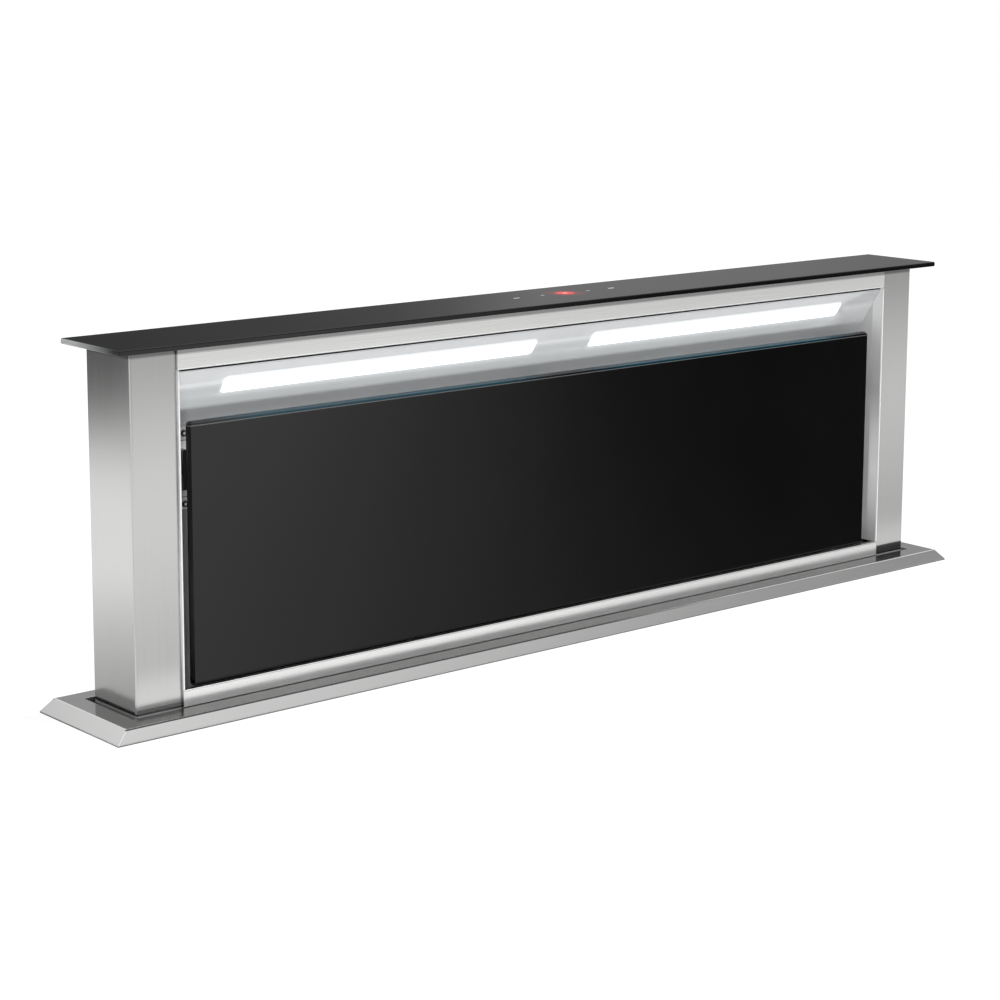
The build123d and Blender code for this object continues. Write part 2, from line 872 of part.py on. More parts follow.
def hinge_bracket():
    """A lug on the filter wall with a round nose for the hinge pin."""
    across = (ear_inner - pin_overlap - hinge_plate, ear_inner - pin_overlap)
    nose = pin_behind_glass - hinge_gap
    lug = rod_x(nose, pin_y, pin_z, across)
    lug += block(across, (pin_y, filter_wall_front), (pin_z - nose, pin_z - nose + hinge_plate_height / 2))
    lug += block(
        across, (pin_y + 2 * nose, filter_wall_front), (pin_z - nose, pin_z - nose + hinge_plate_height)
    )
    return lug - rod_x(pin_radius + running_fit, pin_y, pin_z, (across[0] - past, across[1] + past))


catch_outer = frame_inside - seam
catch_plate_front = filter_wall_front - 2 * cover_sheet
catch_front = catch_plate_front - catch_depth


def catch_bracket():
    """A plate across the side gap, held by a screw at each end."""
    across = (catch_outer - catch_plate_width, catch_outer)
    top = catch_bottom + catch_plate_height
    plate = block(across, (catch_plate_front, catch_plate_front + cover_sheet), (catch_bottom, top))
    pad = block(across, (catch_plate_front, filter_wall_front), (catch_bottom, catch_bottom + catch_tab))
    screws = catch_screw(catch_bottom + catch_tab / 2) + catch_screw(top - catch_tab / 2)
    return plate + pad + screws


def catch_screw(z):
    x = catch_outer - catch_plate_width + catch_screw_inset
    return rod_y(catch_screw_radius, x, z, (catch_plate_front - catch_screw_head, catch_plate_front))


def panel_catch():
    """A black cross of plastic that holds a magnet behind the glass."""
    depth = (catch_front, catch_plate_front)
    bar_x = catch_outer - catch_bar_inset
    bar = block(
        (bar_x - catch_bar_width / 2, bar_x + catch_bar_width / 2),
        depth,
        (catch_middle - catch_bar_height / 2, catch_middle + catch_bar_height / 2),
    )
    arm_end = catch_outer - catch_arm_inset
    arm = block(
        (arm_end - catch_arm_length, arm_end),
        depth,
        (catch_middle - catch_arm_height / 2, catch_middle + catch_arm_height / 2),
    )
    return bar + arm


def striker():
    """A steel stud welded to the carrier, which the magnet draws."""
    x = carrier_side - striker_radius
    return rod_y(striker_radius, x, catch_middle, (panel_back, catch_front - striker_gap))


# ------------------------------------------------------------------- blower
inlet_radius = wheel_eye - inlet_wheel_gap - inlet_sheet
volute_radius = wheel_radius + volute_gap
volute_height = 2 * (duct_radius + duct_plate_height_rim)
volute_depth = 2 * (duct_radius + duct_plate_depth_rim)
volute_front = casing_front - volute_depth
outlet_x = blower_x + volute_length
outlet_y = casing_front - volute_depth / 2
outlet_z = blower_z + volute_height / 2
flap_axis_x = outlet_x + flap_from_plate


def volute_outline():
    """Four tangent arcs that open out step by step into a square outlet."""
    step = (volute_height - volute_radius) / 3
    around = [
        CenterArc((0, 0), volute_radius, 0, -90),
        CenterArc((0, step), volute_radius + step, -90, -90),
        CenterArc((step, step), volute_radius + 2 * step, 180, -90),
        Line((step, volute_height), (volute_length, volute_height)),
        Line((volute_length, volute_height), (volute_length, 0)),
        Line((volute_length, 0), (volute_radius, 0)),
    ]
    return make_face(Curve() + around)


def on_casing_front(outline, start, depth):
    """An outline round the blower's axis, extruded away from the casing's front."""
    plane = Plane(origin=(blower_x, casing_front - start, blower_z), x_dir=(1, 0, 0), z_dir=(0, -1, 0))
    return extrude(plane * outline, depth)


def blower_scroll():
    outline = volute_outline()
    inner = offset(outline, -volute_sheet)
    shell = on_casing_front(outline, 0, volute_depth)
    shell += on_casing_front(offset(outline, volute_flange), 0, volute_sheet)
    beyond = outlet_x + volute_flange + past
    mouth = block(
        (outlet_x - 2 * volute_sheet, beyond),
        (volute_front + volute_sheet, casing_front),
        (blower_z + volute_sheet, blower_z + volute_height - volute_sheet),
    )
    shell -= block(
        (outlet_x, beyond),
        (volute_front, casing_front),
        (blower_z - volute_height, blower_z + 2 * volute_height),
    )
    return shell - on_casing_front(inner, -past, volute_depth - volute_sheet + past) - mouth


def inlet_ring():
    """The bell mouth that leads air from the casing into the wheel."""
    back = casing_inner_front + inlet_sheet
    front = casing_front - inlet_reach
    plate = rod_y(inlet_radius + inlet_flange, blower_x, blower_z, (casing_inner_front, back))
    tube = rod_y(inlet_radius + inlet_sheet, blower_x, blower_z, (front, back))
    return plate + tube - rod_y(inlet_radius, blower_x, blower_z, (front - past, back + past))


def impeller():
    """A drum of leaning blades between a back plate and a ring."""
    blade = Rectangle(2 * (wheel_radius - wheel_eye), blade_thickness)
    middle = (wheel_radius + wheel_eye) / 2
    blades = [
        Rot(0, 0, 360 * turn / blade_count) * Pos(middle, 0, 0) * Rot(0, 0, blade_lean) * blade
        for turn in range(blade_count)
    ]
    start = wheel_front_gap
    rim = Circle(wheel_radius) - Circle(wheel_eye)
    drum = on_casing_front((Sketch() + blades) & rim, start, wheel_width)
    ring = on_casing_front(rim, start, wheel_plate)
    plate = on_casing_front(Circle(wheel_radius), start + wheel_width - wheel_plate, wheel_plate)
    hub = on_casing_front(Circle(hub_radius), start + wheel_width - hub_length, hub_length)
    return drum + ring + plate + hub + motor_shaft()


def motor_shaft():
    """The rotor's shaft, pressed into the hub and turning in the motor's end."""
    start = wheel_front_gap + wheel_width - hub_length - shaft_end
    length = shaft_end + hub_length + motor_wheel_gap + shaft_seat
    return on_casing_front(Circle(shaft_radius), start, length)


def blower_motor():
    start = wheel_front_gap + wheel_width + motor_wheel_gap
    length = volute_depth - volute_sheet - start
    can = on_casing_front(Circle(blower_motor_radius), start, length)
    can = fillet(can.edges().group_by(Axis.Y)[-1], blower_motor_corner)
    rim = Circle(blower_motor_radius + motor_plate_rim)
    plate = on_casing_front(rim, start + length - motor_plate, motor_plate)
    bore = on_casing_front(Circle(shaft_radius + running_fit), start - past, shaft_seat + 2 * past)
    return can + plate - bore


def duct_collar():
    """A plate over the scroll's outlet with a round spigot and a stop ring for the flaps."""
    plate = block(
        (outlet_x, outlet_x + volute_sheet),
        (volute_front, casing_front),
        (blower_z, blower_z + volute_height),
    )
    plate_end = outlet_x + volute_sheet
    stop = outlet_x + flap_from_plate - flap_thickness / 2 - hinge_gap
    collar = plate + rod_x(duct_radius, outlet_y, outlet_z, (outlet_x, plate_end + duct_length))
    collar -= rod_x(duct_radius - duct_sheet, outlet_y, outlet_z, (stop, plate_end + duct_length + past))
    collar -= rod_x(
        duct_radius - duct_sheet - stop_ring, outlet_y, outlet_z, (outlet_x - past, stop + past)
    )
    reach = duct_radius + past
    return collar - rod_z(flap_pin_radius, flap_axis_x, outlet_y, (outlet_z - reach, outlet_z + reach))


inner_start = spring_room / 2
outer_start = inner_start + knuckle_length + knuckle_gap
knuckle_starts = {
    "front": (-outer_start - knuckle_length, inner_start),
    "rear": (-inner_start - knuckle_length, outer_start),
}


def duct_flap(name):
    """A half disc with two knuckles on the shared upright pin."""
    side = -1 if name == "front" else 1
    radius = duct_radius - duct_sheet - flap_clearance
    sheet_x = (flap_axis_x - flap_thickness / 2, flap_axis_x + flap_thickness / 2)
    whole_z = (outlet_z - radius - past, outlet_z + radius + past)
    near = outlet_y + side * flap_root
    far = outlet_y + side * 2 * radius
    half = block((sheet_x[0] - past, sheet_x[1] + past), sorted((near, far)), whole_z)
    flap = rod_x(radius, outlet_y, outlet_z, sheet_x) & half
    for start in knuckle_starts[name]:
        span = (outlet_z + start, outlet_z + start + knuckle_length)
        flap += rod_z(knuckle_radius, flap_axis_x, outlet_y, span)
        flap += block(sheet_x, sorted((outlet_y + side * flap_thickness, near + side * past)), span)
    return flap - rod_z(flap_pin_radius + running_fit, flap_axis_x, outlet_y, whole_z)


def flap_pin():
    return rod_z(flap_pin_radius, flap_axis_x, outlet_y, (outlet_z - duct_radius, outlet_z + duct_radius))


def flap_spring():
    """The torsion spring's coil between the two pairs of knuckles."""
    height = flap_spring_turns * flap_spring_pitch
    path = Helix(flap_spring_pitch, height, flap_spring_radius)
    start = Plane(origin=path @ 0, z_dir=path % 0)
    wire = sweep(start * Circle(flap_spring_wire / 2), path=path)
    return Pos(flap_axis_x, outlet_y, outlet_z - height / 2) * wire


# -------------------------------------------------------------- control box
box_x = box_from_end - casing_side
box_left = box_x - box_width / 2
box_right = box_x + box_width / 2
box_low = box_z - box_height / 2
box_high = box_z + box_height / 2
box_front = casing_front - box_depth
board_back = casing_front - box_sheet - board_height
gland_x = box_left + 3 * gland_radius
gland_y = casing_front - box_depth / 2


def control_box():
    """A tray on the casing's front, with bosses for its board and a hole for the gland."""
    tray = block((box_left, box_right), (box_front, casing_front), (box_low, box_high))
    tray -= block(
        (box_left + box_sheet, box_right - box_sheet),
        (box_front - past, casing_front - box_sheet),
        (box_low + box_sheet, box_high - box_sheet),
    )
    inset = board_margin + boss_radius
    for x in (box_left + inset, box_right - inset):
        for z in (box_low + inset, box_high - inset):
            tray += rod_y(boss_radius, x, z, (board_back, casing_front - box_sheet))
    return tray - rod_z(gland_thread_radius, gland_x, gland_y, (box_low - past, box_low + box_sheet + past))


def control_lid():
    """A lid whose skirt is pushed over the tray."""
    lid = block(
        (box_left - box_sheet, box_right + box_sheet),
        (box_front - box_sheet, box_front + lid_skirt),
        (box_low - box_sheet, box_high + box_sheet),
    )
    lid = fillet(lid.edges().filter_by(Axis.Y), box_sheet)
    skirt = (box_front, box_front + lid_skirt + past)
    return lid - block((box_left, box_right), skirt, (box_low, box_high))


def on_board(size, left, low):
    """A component that stands out from the board."""
    front = board_back - board_thickness
    return block((left, left + size[0]), (front - size[1], front), (low, low + size[2]))


def control_board():
    board = block(
        (box_left + board_margin, box_right - board_margin),
        (board_back - board_thickness, board_back),
        (box_low + board_margin, box_high - board_margin),
    )
    transformer = on_board(transformer_size, box_x - board_part_inset[0] - transformer_size[0], box_z)
    relays = on_board(relay_size, box_x + board_part_inset[1], box_z + board_part_inset[1])
    return board + transformer + relays


def cable_gland():
    """The nut and thread of the gland that the supply lead would pass through."""
    nut = RegularPolygon(gland_radius, 6)
    nut_top = box_low + box_sheet + gland_nut
    thread = rod_z(gland_thread_radius, gland_x, gland_y, (box_low - gland_length / 2, nut_top))
    cap = Pos(gland_x, gland_y, box_low - gland_length) * extrude(nut, gland_length)
    inner = Pos(gland_x, gland_y, box_low + box_sheet) * extrude(nut, gland_nut)
    bore = rod_z(gland_bore, gland_x, gland_y, (box_low - gland_length - past, nut_top + past))
    return thread + cap + inner - bore


# -------------------------------------------------------------- all the nodes
save("worktop_trim", worktop_trim())
save("mount_frame", mount_frame())
save("trim_gaskets", *trim_gaskets())
save("casing_front", casing_front_panel())
save("casing_rear", casing_rear_panel())
save("casing_right", casing_end_panel())
save("casing_left", other_side(casing_end_panel()))
save("casing_floor", casing_floor())
save("sheet_screws", *sheet_screws())
save("support_legs", *both_sides(support_leg()))

save("guide_rails", *both_sides(guide_rail()))
save("slide_blocks", *slide_blocks())
save("lead_screw_left", lead_screw(-1, pulley_bottom))
save("lead_screw_right", lead_screw(1, guard_bottom - shaft_socket))
save("pulley_left", belt_pulley(-1))
save("pulley_right", belt_pulley(1))
save("screw_bearings", *screw_bearings())
save("drive_belt", drive_belt())
save("belt_guard", belt_guard())
save("lift_motor", lift_motor())
save("carriage_beam", carriage_beam())
save("lift_nuts", *lift_nuts())

save("column_right", column())
save("column_left", other_side(column()))
save("rear_cover", rear_cover())
save("top_plate", top_plate())
save("touch_board", touch_board())
save("top_glass", top_glass())
save("fascia", fascia())
save("lower_front_cover", lower_front_cover())
save("frame_sides", *both_sides(frame_side_wall()))
save("light_panel", light_panel())
save("lamp_lens_left", lamp_lens(-1))
save("lamp_lens_right", lamp_lens(1))
save("led_channels", led_channel(-1), led_channel(1))
save("led_boards", led_board(-1), led_board(1))
save("filter_wall", filter_wall())
save("filter_frame_left", other_side(grease_filter()))
save("filter_frame_right", grease_filter())
save("filter_meshes", *both_sides(filter_mesh()))
save("drip_tray", drip_tray())

save("front_glass", front_glass())
save("panel_carrier", panel_carrier())
save("hinge_pins", *both_sides(hinge_pin()))
save("hinge_brackets", *both_sides(hinge_bracket()))
save("catch_brackets", *both_sides(catch_bracket()))
save("panel_catches", *both_sides(panel_catch()))

save("blower_scroll", blower_scroll())
save("inlet_ring", inlet_ring())
save("impeller", impeller())
save("blower_motor", blower_motor())
save("duct_collar", duct_collar())
save("flap_front", duct_flap("front"))
save("flap_rear", duct_flap("rear"))
save("flap_pin", flap_pin())
save("flap_spring", flap_spring())

save("control_box", control_box())
save("control_lid", control_lid())
save("control_board", control_board())
save("cable_gland", cable_gland())
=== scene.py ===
import math

import bmesh
import bpy
from mathutils import Matrix, Vector


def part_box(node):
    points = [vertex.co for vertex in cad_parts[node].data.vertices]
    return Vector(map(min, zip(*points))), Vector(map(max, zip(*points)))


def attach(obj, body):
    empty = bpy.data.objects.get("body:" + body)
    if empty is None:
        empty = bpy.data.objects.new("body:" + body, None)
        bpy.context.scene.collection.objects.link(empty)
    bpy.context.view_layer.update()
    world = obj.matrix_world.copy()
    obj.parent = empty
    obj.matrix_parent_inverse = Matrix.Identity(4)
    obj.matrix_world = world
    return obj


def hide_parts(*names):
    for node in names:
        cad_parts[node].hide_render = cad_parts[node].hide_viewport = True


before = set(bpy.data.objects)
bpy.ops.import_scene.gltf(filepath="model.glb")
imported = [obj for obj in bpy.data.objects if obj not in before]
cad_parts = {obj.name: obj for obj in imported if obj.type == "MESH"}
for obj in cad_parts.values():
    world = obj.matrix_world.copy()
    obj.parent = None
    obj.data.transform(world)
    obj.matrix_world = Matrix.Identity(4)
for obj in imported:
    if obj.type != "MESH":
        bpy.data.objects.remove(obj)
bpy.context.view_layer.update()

# The camera stands at the front left of the raised tower, a little above the glass lid, with the
# long lens and the small lens shift that the photograph was framed with.
lens = bpy.data.cameras.new("photograph")
lens.lens = 89.06
lens.sensor_width = 36.0
lens.shift_y = -0.1
lens.clip_start = 0.01
camera = bpy.data.objects.new("photograph", lens)
camera.location = (-1.33104, -1.51313, 0.54188)
camera.rotation_euler = [math.radians(angle) for angle in (80.1857, -0.2255, -40.1867)]
bpy.context.scene.collection.objects.link(camera)
bpy.context.scene.camera = camera
bpy.context.scene.view_settings.view_transform = "Standard"


# The pale worktop lies at the height of the trim's foot, with a hole under the trim, and a second
# pale floor lies under the feet. Both keep a faint shadow. The worktop shows only from above and
# only in front of the unit, so the housing can be seen from behind.
def put(tree, kind, *inputs, **settings):
    """Adds a node to a tree, with its settings and (socket, value or output) pairs."""
    node = tree.nodes.new(kind)
    for setting, value in settings.items():
        setattr(node, setting, value)
    for socket, value in inputs:
        if isinstance(value, bpy.types.NodeSocket):
            tree.links.new(value, node.inputs[socket])
        else:
            node.inputs[socket].default_value = value
    return node


def calc(tree, operation, *values):
    """One step of arithmetic on node outputs."""
    return put(tree, "ShaderNodeMath", *enumerate(values), operation=operation).outputs[0]


def times(tree, first, second):
    return calc(tree, "MULTIPLY", first, second)


def plus(tree, first, second):
    return calc(tree, "ADD", first, second)


def minus(tree, first, second):
    return calc(tree, "SUBTRACT", first, second)


def larger(tree, first, second):
    return calc(tree, "MAXIMUM", first, second)


def size_of(tree, value):
    return calc(tree, "ABSOLUTE", value)


def across_corner(tree, first, second):
    """The straight distance over two lengths at right angles."""
    return calc(tree, "SQRT", plus(tree, calc(tree, "POWER", first, 2.0), calc(tree, "POWER", second, 2.0)))


def steps(tree, value, *stops):
    """A ramp of (position, grey or colour) stops."""
    ramp = put(tree, "ShaderNodeValToRGB", (0, value))
    elements = ramp.color_ramp.elements
    while len(elements) < len(stops):
        elements.new(1.0)
    for element, (position, shade) in zip(elements, stops):
        element.position = position
        element.color = (shade, shade, shade, 1.0) if isinstance(shade, float) else (*shade, 1.0)
    return ramp.outputs[0]


def object_place(tree):
    """Where a point of the surface lies on the object."""
    return put(tree, "ShaderNodeTexCoord").outputs["Object"]


def axes(tree, place):
    """A place's X, Y and Z."""
    return put(tree, "ShaderNodeSeparateXYZ", (0, place)).outputs


def mix_value(tree, factor, low, high):
    """Between two values by a factor."""
    return put(tree, "ShaderNodeMix", (0, factor), (2, low), (3, high)).outputs[0]


def mix_shader(tree, factor, low, high):
    """Between two shaders by a factor."""
    return put(tree, "ShaderNodeMixShader", (0, factor), (1, low), (2, high)).outputs[0]


def paper(name, mesh, hidden_behind, light_on):
    """A pale sheet that isn't part of the object. It is clear from below, and past a line in Y."""
    paper_colour = (0.86, 0.86, 0.86, 1.0)
    evenness, seen_strength, mirrored_strength = 0.8, 1.1, 1.3
    material = bpy.data.materials.new(name)
    material.use_nodes = True
    tree = material.node_tree
    tree.nodes.clear()
    path = put(tree, "ShaderNodeLightPath").outputs
    camera_ray = path["Is Camera Ray"]
    x, y, z = axes(tree, object_place(tree))
    matt = put(tree, "ShaderNodeBsdfDiffuse", ("Color", paper_colour)).outputs[0]
    lit = put(tree, "ShaderNodeEmission", ("Strength", seen_strength)).outputs[0]
    seen = mix_shader(tree, evenness, matt, lit)
    pool = light_on(tree, x, y, path["Is Singular Ray"])
    shine = put(tree, "ShaderNodeEmission", ("Color", pool), ("Strength", mirrored_strength)).outputs[0]
    sheen_ray = larger(tree, path["Is Glossy Ray"], path["Is Transmission Ray"])
    mirrored = mix_shader(tree, sheen_ray, matt, shine)
    sheet = mix_shader(tree, camera_ray, mirrored, seen)
    unseen = times(tree, calc(tree, "GREATER_THAN", y, hidden_behind), camera_ray)
    below = put(tree, "ShaderNodeNewGeometry").outputs["Backfacing"]
    clear = put(tree, "ShaderNodeBsdfTransparent").outputs[0]
    sheet = mix_shader(tree, larger(tree, unseen, below), sheet, clear)
    put(tree, "ShaderNodeOutputMaterial", (0, sheet))
    mesh.materials.append(material)
    piece = bpy.data.objects.new(name, mesh)
    bpy.context.scene.collection.objects.link(piece)
    piece.visible_shadow = False


def worktop_light(tree, x, y, sharp):
    """How bright the worktop is in the steel: a pool of light that fades outwards and to the right."""
    tower_half = 0.42
    per_two_metres = 0.5
    slant, slant_start = 0.848, 0.521
    aside = larger(tree, minus(tree, size_of(tree, x), tower_half), 0.0)
    end_light = steps(
        tree, times(tree, across_corner(tree, aside, y), per_two_metres),
        (0.035, 0.5), (0.13, 0.72), (0.225, 1.0), (0.32, 1.0), (0.41, 1.0), (0.51, 0.86), (0.6, 0.48),
        (0.695, 0.22), (0.745, 0.15), (0.785, 0.11), (1.0, 0.08),
    )
    front_light = steps(
        tree, times(tree, y, -per_two_metres),
        (0.026, 0.95), (0.031, 0.6), (0.036, 0.95), (0.06, 0.92), (0.08, 0.68), (0.13, 0.74),
        (0.2, 0.84), (0.275, 0.9), (0.35, 0.93), (0.42, 0.92), (0.49, 0.87), (0.56, 0.82),
        (0.595, 0.72), (0.625, 0.62), (0.75, 0.5), (1.0, 0.4),
    )
    skew = plus(tree, plus(tree, x, times(tree, y, slant)), slant_start)
    blurred = steps(tree, skew, (0.1, 1.0), (0.4, 0.98), (0.54, 0.9), (0.66, 0.86), (0.8, 0.86), (1.0, 0.84))
    glass = steps(
        tree, skew, (0.0, 0.7), (0.07, 0.65), (0.18, 0.53), (0.3, 0.39), (0.43, 0.265), (0.55, 0.15),
        (0.62, 0.106), (0.7, 0.08), (0.8, 0.058), (1.0, 0.053),
    )
    front = mix_value(tree, sharp, times(tree, front_light, blurred), glass)
    behind = calc(tree, "GREATER_THAN", y, 0.0)
    return mix_value(tree, behind, front, end_light)


def floor_light(tree, x, y, sharp):
    """The lower floor is evenly bright in the steel."""
    per_four_metres = 0.25
    reach = times(tree, across_corner(tree, x, y), per_four_metres)
    return steps(tree, reach, (0.0, 0.8), (0.3, 0.72), (0.8, 0.5))


far, gap, hidden_strip, hole_reach = 5.0, 0.002, 0.001, 0.2
worktop_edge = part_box("worktop_trim")[1].y - hidden_strip
hole_low, hole_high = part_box("mount_frame")
top = bmesh.new()
bmesh.ops.create_grid(top, x_segments=3, y_segments=3, size=1.0)
lines_x = {-3: -far, -1: hole_low.x - gap, 1: hole_high.x + gap, 3: far}
lines_y = {-3: -far, -1: hole_low.y - gap, 1: hole_high.y + gap, 3: far}
for corner in top.verts:
    corner.co = (lines_x[round(corner.co.x * 3)], lines_y[round(corner.co.y * 3)], 0.0)
over_hole = [face for face in top.faces if face.calc_center_median().length < hole_reach]
bmesh.ops.delete(top, geom=over_hole, context="FACES")
worktop_mesh = bpy.data.meshes.new("worktop")
top.to_mesh(worktop_mesh)
paper("worktop", worktop_mesh, worktop_edge, worktop_light)

floor_half = 9.0
nothing_hidden = 99.0
ground = bmesh.new()
bmesh.ops.create_grid(ground, x_segments=1, y_segments=1, size=floor_half)
bmesh.ops.translate(ground, verts=ground.verts, vec=(0.0, 0.0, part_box("support_legs")[0].z))
ground_mesh = bpy.data.meshes.new("floor")
ground.to_mesh(ground_mesh)
paper("floor", ground_mesh, nothing_hidden, floor_light)


# Studio light: a white surround, a soft key lamp at the front right and a broad fill lamp at the
# front left. Grey walls stand round the object, and only show as reflections in steel and glass.
world = bpy.data.worlds.new("studio")
bpy.context.scene.world = world
world.use_nodes = True
sky = world.node_tree
sky.nodes.clear()
sky_path = put(sky, "ShaderNodeLightPath").outputs
shown = larger(sky, sky_path["Is Camera Ray"], sky_path["Is Glossy Ray"])
shown = larger(sky, shown, sky_path["Is Transmission Ray"])
white = (1.0, 1.0, 1.0, 1.0)
dim_sky = put(sky, "ShaderNodeBackground", ("Color", white), ("Strength", 0.5)).outputs[0]
white_sky = put(sky, "ShaderNodeBackground", ("Color", white), ("Strength", 1.0)).outputs[0]
put(sky, "ShaderNodeOutputWorld", (0, mix_shader(sky, shown, dim_sky, white_sky)))


def sun(name, energy, spread_angle, from_side):
    """A lamp as far as the sun, which shines from the given side."""
    light = bpy.data.lights.new(name, "SUN")
    light.energy = energy
    light.angle = math.radians(spread_angle)
    lamp_object = bpy.data.objects.new(name, light)
    lamp_object.rotation_euler = Vector(from_side).to_track_quat("Z", "Y").to_euler()
    bpy.context.scene.collection.objects.link(lamp_object)
    return lamp_object


sun("key lamp", 2.0, 4.0, (0.32, -0.45, 0.83))
fill_lamp = sun("fill lamp", 1.6, 12.0, (-0.6, -0.76, 0.25))
fill_lamp.visible_glossy = False


def reflected_only(name, mesh, grey_of, sharp_only=False):
    """A card that shows only in reflections, and only in polished glass if asked."""
    material = bpy.data.materials.new(name)
    material.use_nodes = True
    tree = material.node_tree
    tree.nodes.clear()
    x, y, z = axes(tree, object_place(tree))
    grey, cover = grey_of(tree, x, y, z)
    if sharp_only:
        cover = times(tree, cover, put(tree, "ShaderNodeLightPath").outputs["Is Singular Ray"])
    glow = put(tree, "ShaderNodeEmission", ("Color", grey), ("Strength", 1.0)).outputs[0]
    clear = put(tree, "ShaderNodeBsdfTransparent").outputs[0]
    put(tree, "ShaderNodeOutputMaterial", (0, mix_shader(tree, cover, clear, glow)))
    mesh.materials.append(material)
    piece = bpy.data.objects.new(name, mesh)
    bpy.context.scene.collection.objects.link(piece)
    piece.visible_camera = False
    piece.visible_diffuse = False
    piece.visible_shadow = False
    piece.visible_transmission = False


def mix_colour(tree, factor, low, high):
    """Between two colours by a factor."""
    mix = put(tree, "ShaderNodeMix", ("Factor", factor), data_type="RGBA")
    for socket, value in ((6, low), (7, high)):
        if isinstance(value, bpy.types.NodeSocket):
            tree.links.new(value, mix.inputs[socket])
        else:
            mix.inputs[socket].default_value = (*value, 1.0)
    return mix.outputs[2]


def wall_grey(tree, x, y, z):
    """The wall's grey and cover by height. In polished glass it is darker and stands full height."""
    per_four_metres = 0.25
    height = times(tree, z, per_four_metres)
    soft_grey = steps(tree, height, (0.0, 0.4), (0.2, 0.29), (0.4, 0.33), (0.6, 0.5))
    soft_cover = steps(tree, height, (0.0, 1.0), (0.44, 1.0), (0.76, 0.0))
    sharp_grey = steps(tree, height, (0.0, 0.42), (0.25, 0.36), (0.35, 0.04))
    sharp = put(tree, "ShaderNodeLightPath").outputs["Is Singular Ray"]
    return mix_colour(tree, sharp, soft_grey, sharp_grey), larger(tree, soft_cover, sharp)


wall_radius, wall_foot, wall_height = 4.2, -0.76, 4.2
wall_shape = bmesh.new()
bmesh.ops.create_circle(wall_shape, segments=96, radius=wall_radius)
bmesh.ops.translate(wall_shape, verts=wall_shape.verts, vec=(0.0, 0.0, wall_foot))
rim = bmesh.ops.extrude_edge_only(wall_shape, edges=wall_shape.edges)["geom"]
risen = [part for part in rim if isinstance(part, bmesh.types.BMVert)]
bmesh.ops.translate(wall_shape, verts=risen, vec=(0.0, 0.0, wall_height))
wall_mesh = bpy.data.meshes.new("studio wall")
wall_shape.to_mesh(wall_mesh)
reflected_only("studio_wall", wall_mesh, wall_grey)


def back_grey(tree, x, y, z):
    """The card behind the unit brightens to the right and ends softly at both sides."""
    per_half_card, per_card = 0.4, 0.25
    grey = steps(
        tree, times(tree, x, per_half_card), (0.0, 0.08), (0.2, 0.083), (0.33, 0.11), (0.4, 0.135),
        (0.445, 0.178), (0.488, 0.254), (0.52, 0.305), (0.6, 0.306), (0.77, 0.29), (0.88, 0.26),
    )
    cover = steps(tree, size_of(tree, times(tree, x, per_card)), (0.7, 1.0), (0.95, 0.0))
    return grey, cover


back_half, back_y, back_foot, back_head = 4.0, 1.5, 0.3, 1.3
back_sheet = bmesh.new()
back_outline = [(-1, back_foot), (1, back_foot), (1, back_head), (-1, back_head)]
back_sheet.faces.new([back_sheet.verts.new((side * back_half, back_y, z)) for side, z in back_outline])
back_mesh = bpy.data.meshes.new("back card")
back_sheet.to_mesh(back_mesh)
reflected_only("back_card", back_mesh, back_grey, sharp_only=True)


# The worktop trim is one frame of brushed stainless steel, with sloping sides and a folded slot.
# Its grain runs along each side, and its flat top is polished almost to a mirror.
def finish(name, colour, metal, roughness):
    """A new material, its tree, its shader's sockets and the place on the object."""
    material = bpy.data.materials.new(name)
    material.use_nodes = True
    tree = material.node_tree
    shader = tree.nodes["Principled BSDF"].inputs
    shader["Base Color"].default_value = (*colour, 1.0)
    shader["Metallic"].default_value = metal
    shader["Roughness"].default_value = roughness
    return material, tree, shader, object_place(tree)


def dress(material, *names):
    """Gives CAD nodes a finish."""
    for name in names:
        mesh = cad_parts[name].data
        mesh.materials.clear()
        mesh.materials.append(material)


def tint(tree, shader, factor, low, high, socket="Base Color"):
    """Colours a surface between two colours by a factor."""
    tree.links.new(mix_colour(tree, factor, low, high), shader[socket])


def spread(tree, value, given, wanted):
    """Maps a value from one range to another and stops at the range's ends."""
    sockets = list(enumerate((value, *given, *wanted)))
    return put(tree, "ShaderNodeMapRange", *sockets).outputs[0]


def between(tree, factor, low, high):
    """Spreads a 0 to 1 factor between two numbers."""
    return spread(tree, factor, (0.0, 1.0), (low, high))


def roughen(tree, shader, factor, low, high):
    """Makes a surface rougher or smoother by a factor."""
    tree.links.new(between(tree, factor, low, high), shader["Roughness"])


def emboss(tree, shader, height, depth, strength=1.0, *normal):
    """Raises a pattern from a surface by up to a depth in metres."""
    raised = [("Height", height), ("Distance", depth), ("Strength", strength), *normal]
    tree.links.new(put(tree, "ShaderNodeBump", *raised).outputs[0], shader["Normal"])


def group(name, inputs, outputs):
    """An empty node group with named sockets: (name, kind, default) and (name, kind)."""
    tree = bpy.data.node_groups.new(name, "ShaderNodeTree")
    for label, kind, default in inputs:
        socket = tree.interface.new_socket(label, in_out="INPUT", socket_type="NodeSocket" + kind)
        if default is not None:
            socket.default_value = default
    for label, kind in outputs:
        tree.interface.new_socket(label, in_out="OUTPUT", socket_type="NodeSocket" + kind)
    return tree, tree.nodes.new("NodeGroupInput").outputs, tree.nodes.new("NodeGroupOutput").inputs


def noise(tree, place, scale, detail):
    """Cloudy noise of a given fineness."""
    return put(tree, "ShaderNodeTexNoise", ("Vector", place), ("Scale", scale), ("Detail", detail))


